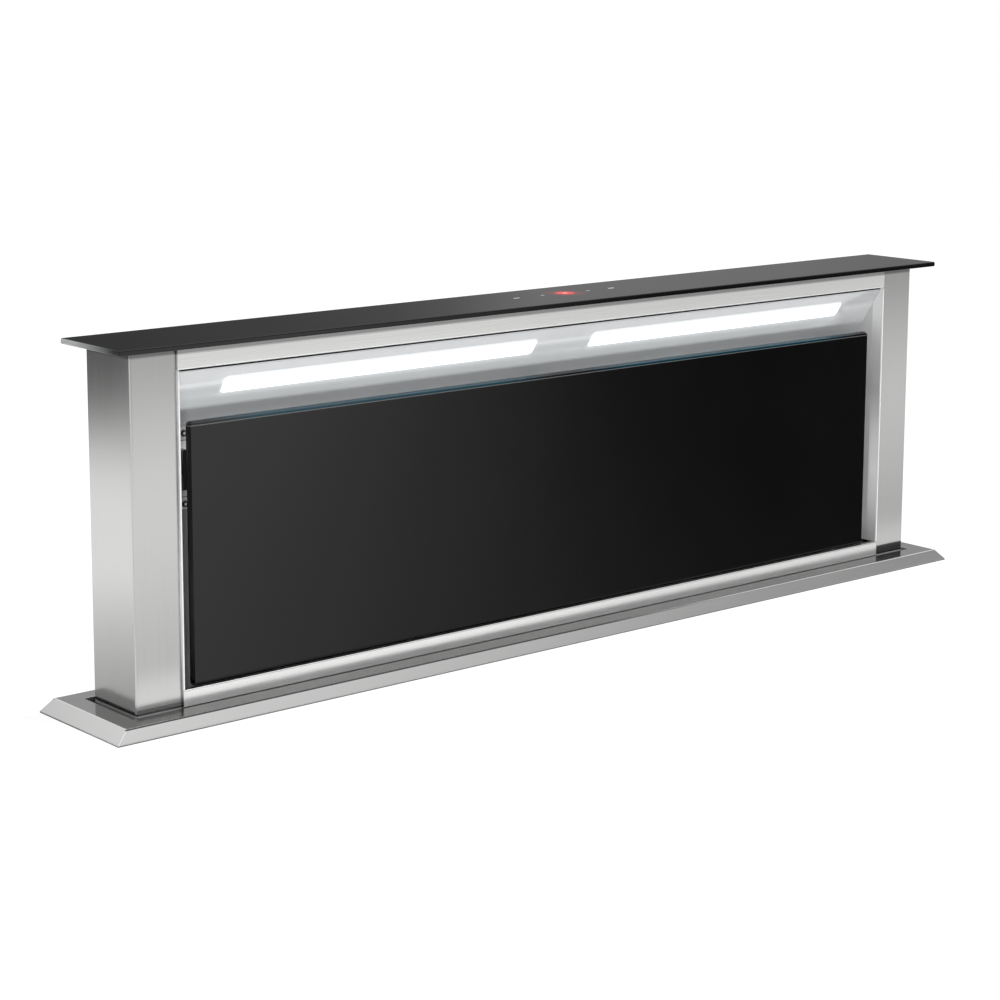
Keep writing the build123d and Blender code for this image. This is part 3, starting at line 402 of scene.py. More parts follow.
# brushed lines: stretched noise, as an emery belt leaves it
brushed_lines, given, result = group(
    "brushed lines",
    [("Coordinates", "Vector", None), ("Fine", "Float", 1400.0), ("Broad", "Float", 170.0)],
    [("Lines", "Float"), ("Bands", "Float")],
)
brushed_lines.links.new(noise(brushed_lines, given[0], given[1], 3.0).outputs[0], result[0])
brushed_lines.links.new(noise(brushed_lines, given[0], given[2], 2.0).outputs[0], result[1])

# handling haze: soft uneven patches, where the sheet was wiped
haze, given, result = group(
    "handling haze", [("Coordinates", "Vector", None), ("Scale", "Float", 9.0)], [("Haze", "Float")]
)
cloud = noise(haze, given[0], given[1], 4.0)
cloud.inputs["Distortion"].default_value = 0.4
haze.links.new(steps(haze, cloud.outputs[0], (0.35, 0.0), (0.7, 1.0)), result[0])


def in_group(tree, kind, *inputs):
    """Places a node group in a material."""
    return put(tree, "ShaderNodeGroup", *inputs, node_tree=kind).outputs


def brushed(name, colour, roughness, stretch, depth=0.00002, contrast=0.05, metal=1.0, rounded=0.0005,
            turn=None, matt=None, shade=None):
    """Brushed stainless steel whose grain runs where the coordinates are squeezed."""
    fine_share, broad_share, rough_range, wiped_share = 0.6, 0.4, 0.05, 0.03
    material, tree, shader, place = finish(name, colour, metal, roughness)
    if turn is None:
        along = put(tree, "ShaderNodeMapping", (0, place), (3, stretch)).outputs[0]
    else:
        along = turn(tree, place)
    lines, bands = in_group(tree, brushed_lines, ("Coordinates", along))
    wiped = in_group(tree, haze, ("Coordinates", place))[0]
    streaks = plus(tree, times(tree, lines, fine_share), times(tree, bands, broad_share))
    low = tuple(part * (1.0 - contrast) for part in colour)
    high = tuple(min(part * (1.0 + contrast), 1.0) for part in colour)
    steel = mix_colour(tree, streaks, low, high)
    # painted shade: the shade mask darkens the steel towards 3% of its colour
    if shade is not None:
        steel = mix_colour(tree, shade(tree, place), steel, tuple(part * 0.03 for part in colour))
    tree.links.new(steel, shader["Base Color"])
    rough = between(tree, streaks, roughness - rough_range, roughness + rough_range)
    rough = plus(tree, rough, times(tree, wiped, wiped_share))
    if matt is not None:
        rough = plus(tree, rough, matt(tree, place))
    tree.links.new(rough, shader["Roughness"])
    soft = put(tree, "ShaderNodeBevel", ("Radius", rounded), samples=6).outputs[0]
    emboss(tree, shader, streaks, depth, 1.0, ("Normal", soft))
    return material


def mitred(tree, place):
    """Grain along X on the long sides of the trim and along Y on its ends."""
    mitre_start = 0.395
    x, y, z = axes(tree, place)
    at_end = calc(tree, "GREATER_THAN", minus(tree, size_of(tree, x), mitre_start), size_of(tree, y))
    long_side = put(tree, "ShaderNodeMapping", (0, place), (3, (0.01, 1.0, 1.0))).outputs[0]
    short_side = put(tree, "ShaderNodeMapping", (0, place), (3, (1.0, 0.02, 1.0))).outputs[0]
    sides = [("Factor", at_end), (4, long_side), (5, short_side)]
    return put(tree, "ShaderNodeMix", *sides, data_type="VECTOR").outputs[1]


def painted_shadow_and_reflection_lines(tree, place):
    """A painted shadow at the trim's foot, and a painted dark reflection along its long sides' bend, fading
    to the right.
    """
    foot_height, foot_strength = 0.0008, 0.9
    bend_height, bend_half, bend_y = 0.0098, 0.0005, 0.0495
    x, y, height = axes(tree, place)
    foot = times(tree, calc(tree, "LESS_THAN", height, foot_height), foot_strength)
    fading, bend_strength = (0.02, 0.18), (0.9, 0.15)
    long_side = calc(tree, "GREATER_THAN", size_of(tree, y), bend_y)
    strength = spread(tree, x, fading, bend_strength)
    on_bend = calc(tree, "COMPARE", height, bend_height, bend_half)
    return larger(tree, foot, times(tree, on_bend, times(tree, long_side, strength)))


trim_finish = brushed(
    "trim steel", (0.8, 0.8, 0.795), 0.12, None, depth=0.000005, contrast=0.03, rounded=0.0008,
    turn=mitred, shade=painted_shadow_and_reflection_lines,
)
dress(trim_finish, "worktop_trim")


# The casing is folded from galvanised sheet, with the mount frame's flange welded round its top.
# The zinc shows as flat grey crystals, which are finer on the blower's housing.
spangle, given, result = group(
    "zinc spangle", [("Coordinates", "Vector", None), ("Size", "Float", 95.0)],
    [("Crystal", "Float"), ("Border", "Float")],
)
crystal = put(spangle, "ShaderNodeTexVoronoi", ("Vector", given[0]), ("Scale", given[1]))
shade_of = put(spangle, "ShaderNodeSeparateColor", (0, crystal.outputs["Color"])).outputs[0]
spangle.links.new(shade_of, result[0])
edge_of = put(
    spangle, "ShaderNodeTexVoronoi", ("Vector", given[0]), ("Scale", given[1]), feature="DISTANCE_TO_EDGE"
)
spangle.links.new(steps(spangle, edge_of.outputs[0], (0.0, 1.0), (0.08, 0.0)), result[1])


def galvanised(name, size, dull, bright):
    """Hot-dipped steel sheet: crystals of a few shades of grey with faint raised borders."""
    material, tree, shader, place = finish(name, bright, 1.0, 0.42)
    crystals, borders = in_group(tree, spangle, ("Coordinates", place), ("Size", size))
    wiped = in_group(tree, haze, ("Coordinates", place), ("Scale", 6.0))[0]
    tint(tree, shader, crystals, dull, bright)
    rough = plus(tree, between(tree, crystals, 0.41, 0.53), times(tree, wiped, 0.08))
    tree.links.new(rough, shader["Roughness"])
    emboss(tree, shader, borders, 0.00002, 0.6)
    return material


zinc = galvanised("galvanised sheet", 85.0, (0.42, 0.44, 0.45), (0.53, 0.55, 0.56))
dress(
    zinc, "mount_frame", "casing_front", "casing_rear", "casing_right", "casing_left", "casing_floor",
    "support_legs", "belt_guard", "carriage_beam", "top_plate", "panel_carrier",
)
fine_zinc = galvanised("fine galvanised sheet", 240.0, (0.36, 0.37, 0.375), (0.43, 0.44, 0.445))
dress(fine_zinc, "blower_scroll")


# Closed-cell foam strips seal the trim to the worktop. The foam is matt and nearly black, with
# cells of about half a millimetre.
foam, foam_tree, foam_shader, foam_place = finish("seal foam", (0.04, 0.04, 0.04), 0.0, 0.9)
foam_cells = put(foam_tree, "ShaderNodeTexVoronoi", ("Vector", foam_place), ("Scale", 1800.0)).outputs[0]
tint(foam_tree, foam_shader, foam_cells, (0.02, 0.02, 0.02), (0.06, 0.06, 0.06))
emboss(foam_tree, foam_shader, foam_cells, 0.0003, 0.5)
dress(foam, "trim_gaskets")


# Guide rails, pins, hinge brackets and springs are drawn or turned steel, lightly oiled. The
# casing's pan-head screws and the lead screws are of the same steel.
steel, steel_tree, steel_shader, steel_place = finish("machined steel", (0.52, 0.52, 0.52), 1.0, 0.28)
steel_along = put(steel_tree, "ShaderNodeMapping", (0, steel_place), (3, (0.05, 0.05, 1.0))).outputs[0]
steel_lines = in_group(steel_tree, brushed_lines, ("Coordinates", steel_along), ("Fine", 2600.0))[0]
steel_oil = in_group(steel_tree, haze, ("Coordinates", steel_place), ("Scale", 26.0))[0]
tint(steel_tree, steel_shader, steel_oil, (0.56, 0.56, 0.56), (0.46, 0.45, 0.43))
roughen(steel_tree, steel_shader, steel_lines, 0.2, 0.38)
emboss(steel_tree, steel_shader, steel_lines, 0.00002)
dress(steel, "guide_rails", "hinge_pins", "hinge_brackets", "flap_pin", "flap_spring")

# pan heads with a cross recess, down both folds of the casing's front and back
head_outline_mm = [(0.0, 2.2), (1.7, 2.14), (2.9, 1.8), (3.55, 1.2), (3.8, 0.45), (3.8, 0.0), (0.0, 0.0)]
head_radius, head_height = 0.0038, 0.0022
slot_half, slot_reach, slot_floor, slot_taper = 0.0005, 0.0021, 0.0008, 0.8
head_crown = 0.0015
head = bmesh.new()
corners = [head.verts.new((radius / 1000, 0.0, height / 1000)) for radius, height in head_outline_mm]
for start, end in zip(corners, corners[1:]):
    head.edges.new((start, end))
bmesh.ops.spin(
    head, geom=head.verts[:] + head.edges[:], cent=(0.0, 0.0, 0.0), axis=(0.0, 0.0, 1.0),
    angle=2.0 * math.pi, steps=20, use_merge=True,
)
bmesh.ops.remove_doubles(head, verts=head.verts, dist=0.000001)
bmesh.ops.recalc_face_normals(head, faces=head.faces)
for across in (Vector((1.0, 0.0, 0.0)), Vector((0.0, 1.0, 0.0))):
    for reach in (-slot_reach, -slot_half, slot_half, slot_reach):
        bmesh.ops.bisect_plane(
            head, geom=head.verts[:] + head.edges[:] + head.faces[:], plane_co=across * reach,
            plane_no=across,
        )
in_cross = []
for face in head.faces:
    middle = face.calc_center_median()
    short, long = sorted((abs(middle.x), abs(middle.y)))
    if middle.z > head_crown and short < slot_half and long < slot_reach:
        in_cross.append(face)
sunk = bmesh.ops.extrude_face_region(head, geom=in_cross)
bmesh.ops.delete(head, geom=in_cross, context="FACES")
for vertex in sunk["geom"]:
    if isinstance(vertex, bmesh.types.BMVert):
        vertex.co = (vertex.co.x * slot_taper, vertex.co.y * slot_taper, slot_floor)
bmesh.ops.recalc_face_normals(head, faces=head.faces)
head_mesh = bpy.data.meshes.new("screw head")
head.to_mesh(head_mesh)

screw_rows, turn_per_row = 6, 0.7
screw_low, screw_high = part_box("sheet_screws")
first_row = screw_low.z + head_radius
rows_height = screw_high.z - screw_low.z - 2.0 * head_radius
heads = bmesh.new()
for row in range(screw_rows):
    height = first_row + rows_height * row / (screw_rows - 1)
    for side in (screw_low.x + head_radius, screw_high.x - head_radius):
        for surface, tip in ((screw_low.y + head_height, 1.0), (screw_high.y - head_height, -1.0)):
            before = len(heads.verts)
            heads.from_mesh(head_mesh)
            heads.verts.ensure_lookup_table()
            place = Matrix.Translation((side, surface, height)) @ Matrix.Rotation(tip * math.pi / 2, 4, "X")
            place = place @ Matrix.Rotation(turn_per_row * row + tip, 4, "Z")
            bmesh.ops.transform(heads, matrix=place, verts=heads.verts[before:])
heads_mesh = bpy.data.meshes.new("screw_heads")
heads.to_mesh(heads_mesh)
heads_mesh.materials.append(steel)
screw_heads = bpy.data.objects.new("screw_heads", heads_mesh)
bpy.context.scene.collection.objects.link(screw_heads)
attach(screw_heads, "casing")
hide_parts("sheet_screws")

# the lead screws' thread: four starts, 5 mm apart, of 20 mm lead
thread_starts, thread_pitch = 4.0, 0.005
thread, thread_tree, thread_shader, thread_place = finish("rolled thread", (0.5, 0.5, 0.49), 1.0, 0.24)
thread_x, thread_y, thread_z = axes(thread_tree, thread_place)
thread_low, thread_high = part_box("lead_screw_right")
screw_axis = (thread_low + thread_high) / 2
thread_side = times(thread_tree, calc(thread_tree, "SIGN", thread_x), screw_axis.x)
thread_aside = minus(thread_tree, thread_x, thread_side)
thread_deep = minus(thread_tree, thread_y, screw_axis.y)
thread_angle = times(thread_tree, calc(thread_tree, "ARCTAN2", thread_deep, thread_aside), thread_starts)
thread_climb = times(thread_tree, thread_z, 2.0 * math.pi / thread_pitch)
thread_wave = calc(thread_tree, "SINE", minus(thread_tree, thread_climb, thread_angle))
thread_height = times(thread_tree, plus(thread_tree, thread_wave, 1.0), 0.5)
thread_groove = steps(thread_tree, thread_height, (0.25, 0.0), (0.6, 1.0))
# painted shade: the grooves are painted darker than the crests
tint(thread_tree, thread_shader, thread_groove, (0.3, 0.29, 0.27), (0.6, 0.6, 0.59))
roughen(thread_tree, thread_shader, thread_groove, 0.42, 0.2)
emboss(thread_tree, thread_shader, thread_groove, 0.0008)
dress(thread, "lead_screw_left", "lead_screw_right")


# Moulded plastics have a fine spark-eroded grain, faint streams where the melt flowed, and paler
# edges, partly rubbed skin and partly a painted sheen.
moulded_grain, given, result = group(
    "moulded grain", [("Coordinates", "Vector", None), ("Scale", "Float", 900.0)],
    [("Grain", "Float"), ("Flow", "Float")],
)
moulded_grain.links.new(noise(moulded_grain, given[0], given[1], 2.0).outputs[0], result[0])
moulded_grain.links.new(noise(moulded_grain, given[0], 14.0, 2.0).outputs[0], result[1])

# edge wear and sheen: where the rounded normal turns away from the true one
edge_wear_and_sheen, given, result = group("edge wear and sheen", [("Width", "Float", 0.001)], [("Edge", "Float")])
soft_normal = put(edge_wear_and_sheen, "ShaderNodeBevel", ("Radius", given[0]), samples=4).outputs[0]
true_normal = put(edge_wear_and_sheen, "ShaderNodeNewGeometry").outputs["Normal"]
same = put(
    edge_wear_and_sheen, "ShaderNodeVectorMath", (0, soft_normal), (1, true_normal), operation="DOT_PRODUCT"
).outputs[1]
edge_wear_and_sheen.links.new(steps(edge_wear_and_sheen, minus(edge_wear_and_sheen, 1.0, same), (0.02, 0.0), (0.2, 1.0)), result[0])


def moulded(name, colour, roughness, edge_colour):
    """Moulded plastic with streams a little darker and lighter than its colour."""
    stream_contrast, edge_sheen_and_wear_share = 0.08, 0.5
    material, tree, shader, place = finish(name, colour, 0.0, roughness)
    grain, streams = in_group(tree, moulded_grain, ("Coordinates", place))
    edge = in_group(tree, edge_wear_and_sheen, ("Width", 0.0008))[0]
    low = tuple(part * (1.0 - stream_contrast) for part in colour)
    high = tuple(min(1.0, part * (1.0 + stream_contrast)) for part in colour)
    body = mix_colour(tree, streams, low, high)
    # paler edges: partly rubbed skin, partly a painted sheen
    tint(tree, shader, times(tree, edge, edge_sheen_and_wear_share), body, edge_colour)
    roughen(tree, shader, grain, roughness - 0.06, roughness + 0.08)
    emboss(tree, shader, grain, 0.00004, 0.8)
    return material


pale_plastic = moulded("pale plastic", (0.47, 0.475, 0.465), 0.42, (0.56, 0.56, 0.55))
dress(pale_plastic, "slide_blocks", "inlet_ring", "duct_collar", "flap_front", "flap_rear")
black_plastic = moulded("black plastic", (0.025, 0.025, 0.026), 0.45, (0.06, 0.06, 0.06))
dress(
    black_plastic, "screw_bearings", "panel_catches", "impeller", "control_box", "control_lid",
    "cable_gland",
)


# The lift: a toothed belt joins the two screws' pulleys, a gear motor turns the right screw, and
# brass nuts under the tower's carriage climb the threads.
belt, belt_tree, belt_shader, belt_place = finish("belt rubber", (0.03, 0.03, 0.03), 0.0, 0.7)
belt_teeth = put(
    belt_tree, "ShaderNodeTexWave", ("Vector", belt_place), ("Scale", 66.0), wave_type="BANDS",
    bands_direction="X",
).outputs[0]
emboss(belt_tree, belt_shader, belt_teeth, 0.0006, 0.7)
# painted shade: the belt is painted darker between its teeth
tint(belt_tree, belt_shader, belt_teeth, (0.015, 0.015, 0.015), (0.045, 0.045, 0.045))
dress(belt, "drive_belt")

paint_colour = (0.06, 0.06, 0.065)
paint, paint_tree, paint_shader, paint_place = finish("motor paint", paint_colour, 0.0, 0.38)
paint_grain = noise(paint_tree, paint_place, 420.0, 3.0).outputs[0]
paint_edge = in_group(paint_tree, edge_wear_and_sheen, ("Width", 0.0012))[0]
paint_chips = times(paint_tree, paint_edge, steps(paint_tree, paint_grain, (0.45, 0.0), (0.6, 1.0)))
tint(paint_tree, paint_shader, paint_chips, paint_colour, (0.22, 0.22, 0.22))
roughen(paint_tree, paint_shader, paint_grain, 0.3, 0.48)
emboss(paint_tree, paint_shader, paint_grain, 0.00008, 0.6)
dress(paint, "lift_motor", "blower_motor")

brass, brass_tree, brass_shader, brass_place = finish("turned brass", (0.62, 0.46, 0.2), 1.0, 0.3)
brass_along = put(brass_tree, "ShaderNodeMapping", (0, brass_place), (3, (0.05, 0.05, 1.0))).outputs[0]
brass_lines = in_group(brass_tree, brushed_lines, ("Coordinates", brass_along), ("Fine", 2200.0))[0]
tint(brass_tree, brass_shader, brass_lines, (0.52, 0.37, 0.15), (0.7, 0.53, 0.25))
roughen(brass_tree, brass_shader, brass_lines, 0.22, 0.4)
dress(brass, "lift_nuts")

alloy, alloy_tree, alloy_shader, alloy_place = finish("mill aluminium", (0.7, 0.7, 0.71), 1.0, 0.4)
alloy_along = put(alloy_tree, "ShaderNodeMapping", (0, alloy_place), (3, (0.02, 1.0, 1.0))).outputs[0]
alloy_lines = in_group(alloy_tree, brushed_lines, ("Coordinates", alloy_along), ("Fine", 1900.0))[0]
alloy_haze = in_group(alloy_tree, haze, ("Coordinates", alloy_place), ("Scale", 20.0))[0]
tint(alloy_tree, alloy_shader, alloy_lines, (0.62, 0.62, 0.63), (0.76, 0.76, 0.77))
alloy_rough = plus(
    alloy_tree, between(alloy_tree, alloy_lines, 0.32, 0.44), times(alloy_tree, alloy_haze, 0.1)
)
alloy_tree.links.new(alloy_rough, alloy_shader["Roughness"])
dress(alloy, "pulley_left", "pulley_right", "led_channels", "filter_frame_left", "filter_frame_right")


# Each grease filter holds layers of expanded aluminium net: diamonds slit and drawn from foil, laid
# crosswise so that the grease has no straight way through.
frame_border = 0.008
diamond_half_width, diamond_half_height = 0.005, 0.0034
foil_strand = 0.0007
nets = bmesh.new()
net_low, net_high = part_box("filter_meshes")
net_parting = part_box("filter_frame_right")[0].x + frame_border
net_width, net_height = net_high.x - net_parting, net_high.z - net_low.z
columns = int(net_width / diamond_half_width)
rows = int(net_height / diamond_half_height)
for side in (-1, 1):
    for layer, layer_depth in enumerate((0.0004, 0.0034)):
        points = {}
        for column in range(columns + 1):
            for row in range(rows + 1):
                if (column + row + layer) % 2 == 0:
                    x = side * (net_parting + net_width * column / columns)
                    z = net_low.z + net_height * row / rows
                    points[column, row] = nets.verts.new((x, net_low.y + layer_depth, z))
        for column in range(columns + 1):
            for row in range(rows + 1):
                around = [(column - 1, row), (column, row - 1), (column + 1, row), (column, row + 1)]
                ring = [points[place] for place in around if place in points]
                if (column + row + layer) % 2 == 1 and len(ring) >= 3:
                    nets.faces.new(ring if side > 0 else ring[::-1])
bmesh.ops.wireframe(
    nets, faces=nets.faces[:], thickness=foil_strand, use_replace=True, use_boundary=True,
    use_even_offset=True,
)
net_mesh = bpy.data.meshes.new("filter_nets")
nets.to_mesh(net_mesh)
net_mesh.materials.append(alloy)
filter_nets = bpy.data.objects.new("filter_nets", net_mesh)
bpy.context.scene.collection.objects.link(filter_nets)
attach(filter_nets, "tower")
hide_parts("filter_meshes")


# Circuit boards are green solder mask over faint copper tracks. They sit behind the lid's touch
# marks, behind the lamps and in the control box.
board, board_tree, board_shader, board_place = finish("circuit board", (0.03, 0.18, 0.08), 0.0, 0.35)
board_tracks = put(board_tree, "ShaderNodeTexBrick", ("Vector", board_place), ("Scale", 160.0)).outputs["Fac"]
tint(board_tree, board_shader, board_tracks, (0.02, 0.15, 0.06), (0.05, 0.24, 0.1))
dress(board, "touch_board", "led_boards", "control_board")


# The two columns and the rear cover are folded from stainless sheet, brushed up and down. The columns
# carry a painted shadow under the lid and a painted dark reflection over the slot. The recess's side
# walls are of paler, satin sheet, with painted shade and a painted reflection.
def painted_lid_shadow(tree, place):
    """A painted shadow of the lid's overhang darkens the top few millimetres."""
    shadow_edge, strength = (0.271, 0.2728), (0.0, 0.6)
    return spread(tree, axes(tree, place)[2], shadow_edge, strength)


def painted_lid_and_slot_shade(tree, place):
    """Painted shade: the lid's painted shadow on the top, and a painted dark reflection of the slot over the
    trim on the front, stronger on the right.
    """
    tower_ends = (-0.38, 0.38)
    trim_top, front_face = 0.0104, -0.0285
    x, y, z = axes(tree, place)
    slot_edge = spread(tree, x, tower_ends, (0.0145, 0.0185))
    strength = spread(tree, x, tower_ends, (0.5, 0.85))
    low = times(tree, calc(tree, "LESS_THAN", z, slot_edge), calc(tree, "GREATER_THAN", z, trim_top))
    on_front = times(tree, low, calc(tree, "LESS_THAN", y, front_face))
    return larger(tree, painted_lid_shadow(tree, place), times(tree, on_front, strength))


def painted_side_wall_shade(tree, place):
    """Painted shade deeper in the recess, a painted reflection that darkens the walls towards the lamps and
    the rail, and a painted darker front edge.
    """
    deep_shade_start, edge_face, edge_shade = (-0.0205, -0.0195), -0.0305, 0.2
    x, y, z = axes(tree, place)
    behind = spread(tree, y, deep_shade_start, (0.0, 0.42))
    ends = steps(
        tree, times(tree, z, 4.0), (0.12, 0.55), (0.24, 0.2), (0.36, 0.0), (0.48, 0.12), (0.66, 0.5),
        (0.84, 0.4), (0.95, 0.2),
    )
    on_edge = calc(tree, "LESS_THAN", y, edge_face)
    return mix_value(tree, on_edge, larger(tree, behind, ends), edge_shade)


tower_finish = brushed(
    "tower steel", (0.52, 0.52, 0.515), 0.16, (1.0, 1.0, 0.012), depth=0.00003, rounded=0.0004,
    shade=painted_lid_and_slot_shade,
)
tower_tree = tower_finish.node_tree
# Below the trim line the steel is less metallic, so the columns' part down in the slot catches diffuse light
# and reads lighter: this stands in for light in the slot.
trim_line, slot_to_open_metal = (0.0102, 0.0106), (0.65, 1.0)
tower_z = axes(tower_tree, object_place(tower_tree))[2]
tower_metal = spread(tower_tree, tower_z, trim_line, slot_to_open_metal)
tower_tree.links.new(tower_metal, tower_tree.nodes["Principled BSDF"].inputs["Metallic"])
dress(tower_finish, "column_left", "column_right", "rear_cover")
side_finish = brushed(
    "recess side steel", (0.9, 0.9, 0.895), 0.32, (1.0, 1.0, 0.012), depth=0.00003, metal=0.12,
    shade=painted_side_wall_shade,
)
dress(side_finish, "frame_sides")


# The lid is a sheet of toughened glass, painted black underneath, with ground edges. The ground ends are
# pale grey, fading to black towards the front as a painted reflection. Its touch marks are printed and
# painted glowing, and the middle one is lit red, with its glow painted round it.
def black_glass(name, colour):
    """Polished glass over black paint."""
    material, tree, shader, place = finish(name, colour, 0.0, 0.0)
    shader["IOR"].default_value = 1.5
    return material, tree, shader, place


def mark(tree, place, centre, half):
    """1 inside a printed rectangle, 0 outside."""
    x, y, z = axes(tree, place)
    across = calc(tree, "DIVIDE", size_of(tree, minus(tree, x, centre[0])), half[0])
    deep = calc(tree, "DIVIDE", size_of(tree, minus(tree, y, centre[1])), half[1])
    return calc(tree, "LESS_THAN", larger(tree, across, deep), 1.0)


lid, lid_tree, lid_shader, lid_place = black_glass("lid glass", (0.012, 0.012, 0.013))
marks_y, lit_mark_x, faint_strength = 0.0008, 0.0191, 0.45
top_skin, end_skin, front_to_back = 0.0002, 0.0006, (-0.036, 0.02)
lid_marks = plus(
    lid_tree, mark(lid_tree, lid_place, (-0.0332, marks_y), (0.0032, 0.0009)),
    mark(lid_tree, lid_place, (0.071, marks_y), (0.0032, 0.0012)),
)
for faint in (-0.0053, 0.0446):
    for stroke in (-0.0018, 0.0, 0.0018):
        thin = mark(lid_tree, lid_place, (faint + stroke, marks_y + stroke * 0.5), (0.0006, 0.0016))
        lid_marks = plus(lid_tree, lid_marks, times(lid_tree, thin, faint_strength))
lid_x, lid_y, lid_z = axes(lid_tree, lid_place)
lid_reach = across_corner(lid_tree, minus(lid_tree, lid_x, lit_mark_x), minus(lid_tree, lid_y, marks_y))
lid_top = calc(lid_tree, "GREATER_THAN", lid_z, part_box("top_glass")[1].z - top_skin)
lid_red = steps(
    lid_tree, times(lid_tree, lid_reach, 50.0),
    (0.0, (0.9, 0.6, 0.55)), (0.08, (0.9, 0.5, 0.45)), (0.12, (0.85, 0.04, 0.04)),
    (0.38, (0.7, 0.01, 0.01)), (0.45, (0.1, 0.0, 0.0)), (1.0, (0.0, 0.0, 0.0)),
)
# painted light: the printed marks and the red light's glow are emission from the lid's top
lid_light = mix_colour(lid_tree, lid_marks, lid_red, (0.75, 0.75, 0.75))
tint(lid_tree, lid_shader, lid_top, (0.0, 0.0, 0.0), lid_light, "Emission Color")
lid_shader["Emission Strength"].default_value = 1.0
lid_haze = in_group(lid_tree, haze, ("Coordinates", lid_place), ("Scale", 14.0))[0]
lid_body = mix_colour(lid_tree, lid_haze, (0.001, 0.001, 0.001), (0.003, 0.003, 0.003))
# The ends are ground, and pale grey towards the back as a painted reflection that fades to black at the
# front.
lid_end = calc(lid_tree, "GREATER_THAN", size_of(lid_tree, lid_x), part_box("top_glass")[1].x - end_skin)
lid_ground_and_reflection = times(lid_tree, lid_end, spread(lid_tree, lid_y, front_to_back, (0.0, 1.0)))
tint(lid_tree, lid_shader, lid_ground_and_reflection, lid_body, (0.36, 0.37, 0.37))
lid_tree.links.new(times(lid_tree, lid_end, 0.5), lid_shader["Roughness"])
dress(lid, "top_glass")


# The fascia, the apron with its rail, the sloping lamp panel, the filter wall and the drip tray
# are brushed along their length. The lamps' glow on the panel round their windows, and a band of
# their light below them, are painted into the steel as emission.
lengthwise = (0.012, 1.0, 1.0)
fascia_finish = brushed("frame steel", (0.9, 0.9, 0.89), 0.2, lengthwise, depth=0.00003, shade=painted_lid_shadow)
dress(fascia_finish, "fascia")
rail_finish = brushed("rail steel", (0.7, 0.7, 0.695), 0.2, lengthwise, depth=0.00003)
dress(rail_finish, "lower_front_cover")
wall_finish = brushed("wall steel", (0.6, 0.6, 0.6), 0.3, lengthwise, depth=0.00003, metal=0.5)
dress(wall_finish, "filter_wall", "drip_tray")


def painted_screw_and_fold_shade(tree, place):
    """Painted shade: dark rings in the two screw heads, and dark lines along the folds of the two tabs."""
    plate_middle, screw_x, screw_rise, fold_rise = 0.1815, 0.357, 0.0265, 0.0212
    ring_radius, ring_half, fold_half, fold_strength = 0.0018, 0.0007, 0.00035, 0.8
    x, y, z = axes(tree, place)
    rise = size_of(tree, minus(tree, z, plate_middle))
    aside = minus(tree, size_of(tree, x), screw_x)
    reach = across_corner(tree, aside, minus(tree, rise, screw_rise))
    ring = calc(tree, "COMPARE", reach, ring_radius, ring_half)
    fold = calc(tree, "COMPARE", minus(tree, rise, fold_rise), 0.0, fold_half)
    return larger(tree, ring, times(tree, fold, fold_strength))


bracket_finish = brushed(
    "bracket steel", (0.95, 0.95, 0.95), 0.3, (1.0, 1.0, 0.012), metal=0.1, rounded=0.0003,
    shade=painted_screw_and_fold_shade,
)
dress(bracket_finish, "catch_brackets")


def matt_foot(tree, place):
    """The lamp panel is matt below the lamps, where it turns into the recess."""
    turn_in, added_roughness = (0.225, 0.229), (0.27, 0.0)
    return spread(tree, axes(tree, place)[2], turn_in, added_roughness)


def painted_gap_shade(tree, place):
    """Painted shade: the gap under the fascia, which hides the panel's upper fold, is painted dark."""
    gap_foot, strength = 0.2586, 0.97
    return times(tree, calc(tree, "GREATER_THAN", axes(tree, place)[2], gap_foot), strength)


def lamp_distance(tree, place):
    """How far a point of the sloping panel lies outside the lamps' round-cornered windows."""
    corner = 0.004
    lamp_middle_x, lamp_half_length = 0.1818, 0.1515
    lamp_middle_z, lamp_half_rise, slope_per_rise = 0.2429, 0.00617, 1.18
    x, y, z = axes(tree, place)
    off_middle = size_of(tree, minus(tree, size_of(tree, x), lamp_middle_x))
    past_end = minus(tree, off_middle, lamp_half_length)
    off_axis = size_of(tree, minus(tree, z, lamp_middle_z))
    past_side = times(tree, minus(tree, off_axis, lamp_half_rise), slope_per_rise)
    from_end = plus(tree, past_end, corner)
    from_side = plus(tree, past_side, corner)
    outside = across_corner(tree, larger(tree, from_end, 0.0), larger(tree, from_side, 0.0))
    inside = calc(tree, "MINIMUM", larger(tree, from_end, from_side), 0.0)
    return plus(tree, minus(tree, outside, corner), inside)


lamp_panel_finish = brushed(
    "lamp panel steel", (0.6, 0.61, 0.62), 0.12, lengthwise, depth=0.00001, metal=0.5, rounded=0.0003,
    matt=matt_foot, shade=painted_gap_shade,
)
# painted light: glow round the lamp windows, a bright rim, and a band below that weakens at the right end
glow_tree = lamp_panel_finish.node_tree
glow_place = object_place(glow_tree)
lamp_foot, lamp_head = 0.2367, 0.2492
right_end, glow_floor = (0.32, 0.35), 0.22
glow_x, glow_y, glow_z = axes(glow_tree, glow_place)
glow_reach = times(glow_tree, lamp_distance(glow_tree, glow_place), 60.0)
glow_below = spread(glow_tree, glow_z, (lamp_foot, lamp_head), (1.0, 0.08))
glow_near = steps(
    glow_tree, glow_reach, (0.0, 0.44), (0.12, 0.36), (0.4, 0.25), (0.62, 0.1), (0.9, 0.02), (1.0, 0.0)
)
glow_rim = steps(glow_tree, glow_reach, (0.0, 0.7), (0.05, 0.35), (0.13, 0.0))
glow_band = steps(
    glow_tree, times(glow_tree, minus(glow_tree, glow_z, glow_floor), 30.0),
    (0.16, 0.05), (0.25, 0.29), (0.7, 0.29), (0.85, 0.0),
)
glow_band = times(glow_tree, glow_band, spread(glow_tree, glow_x, right_end, (1.0, 0.45)))
glow = larger(glow_tree, times(glow_tree, glow_near, glow_below), larger(glow_tree, glow_rim, glow_band))
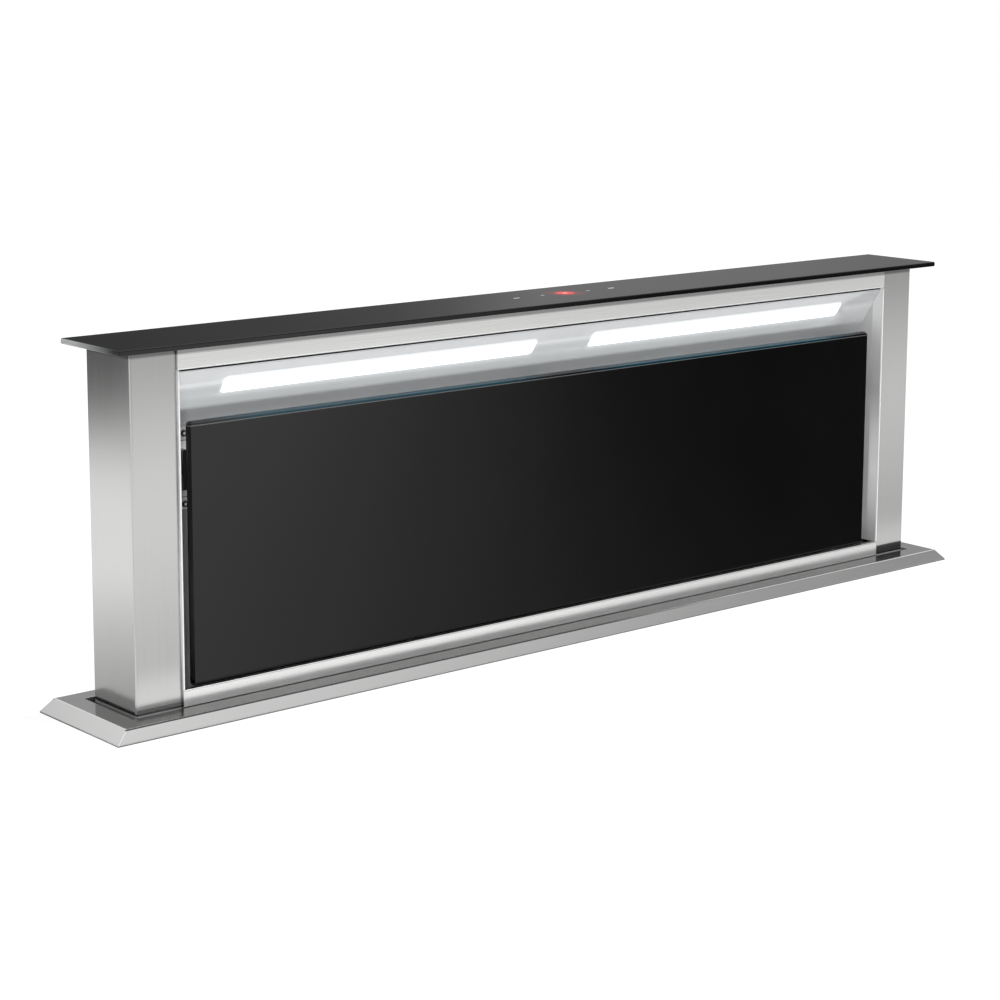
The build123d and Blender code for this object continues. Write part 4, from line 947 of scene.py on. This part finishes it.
glow_shader = glow_tree.nodes["Principled BSDF"].inputs
tint(glow_tree, glow_shader, glow, (0.0, 0.0, 0.0), (0.95, 0.99, 1.0), "Emission Color")
glow_shader["Emission Strength"].default_value = 1.0
dress(lamp_panel_finish, "light_panel")


# Each lamp shines through a frosted cover of moulded acrylic, clipped in from behind. The light
# falls off at the cover's rim, where it meets the cut edge of the window.
lamp, lamp_tree, lamp_shader, lamp_place = finish("lamp cover", (0.86, 0.88, 0.9), 0.0, 0.5)
lamp_inside = times(lamp_tree, lamp_distance(lamp_tree, lamp_place), -1.0)
lamp_level = steps(
    lamp_tree, times(lamp_tree, lamp_inside, 250.0), (0.0, (0.1, 0.11, 0.12)), (0.06, (0.3, 0.32, 0.34)),
    (0.12, (0.6, 0.63, 0.66)), (0.5, (0.9, 0.95, 1.0)), (1.0, (1.0, 1.0, 1.0)),
)
lamp_tree.links.new(lamp_level, lamp_shader["Emission Color"])
lamp_shader["Emission Strength"].default_value = 2.0
lamp_frost = noise(lamp_tree, lamp_place, 1500.0, 2.0).outputs[0]
roughen(lamp_tree, lamp_shader, lamp_frost, 0.4, 0.6)
tint(lamp_tree, lamp_shader, lamp_level, (0.3, 0.31, 0.32), (0.86, 0.88, 0.9))
emboss(lamp_tree, lamp_shader, lamp_frost, 0.00003, 0.8)
dress(lamp, "lamp_lens_left", "lamp_lens_right")


# The front panel is black glass. The lamps' light is painted blue-green into the cut face along its
# upper edge, except at the middle and the ends, and the pale line at the arris below it is a painted
# highlight.
front, front_tree, front_shader, front_place = black_glass("front glass", (0.001, 0.001, 0.0012))
front_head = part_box("front_glass")[1].z
cut_height, arris_drop, arris_half = 0.0028, 0.0031, 0.0003
front_haze = in_group(front_tree, haze, ("Coordinates", front_place), ("Scale", 11.0))[0]
front_body = mix_colour(front_tree, front_haze, (0.0008, 0.0008, 0.001), (0.0016, 0.0016, 0.0018))
front_x, front_y, front_z = axes(front_tree, front_place)
front_cut = calc(front_tree, "GREATER_THAN", front_z, front_head - cut_height)
front_beside = steps(
    front_tree, times(front_tree, size_of(front_tree, front_x), 2.5),
    (0.04, 0.0), (0.16, 1.0), (0.76, 1.0), (0.88, 0.0),
)
# painted light: the lamps' blue-green light in the cut face, short of the middle and the ends
front_painted_lamp_light = times(front_tree, front_cut, front_beside)
front_colour = mix_colour(front_tree, front_painted_lamp_light, front_body, (0.0002, 0.024, 0.037))
# painted highlight: a pale line at the arris below the cut face
front_painted_highlight = calc(front_tree, "COMPARE", front_z, front_head - arris_drop, arris_half)
tint(front_tree, front_shader, front_painted_highlight, front_colour, (0.1, 0.1, 0.1))
dress(front, "front_glass")
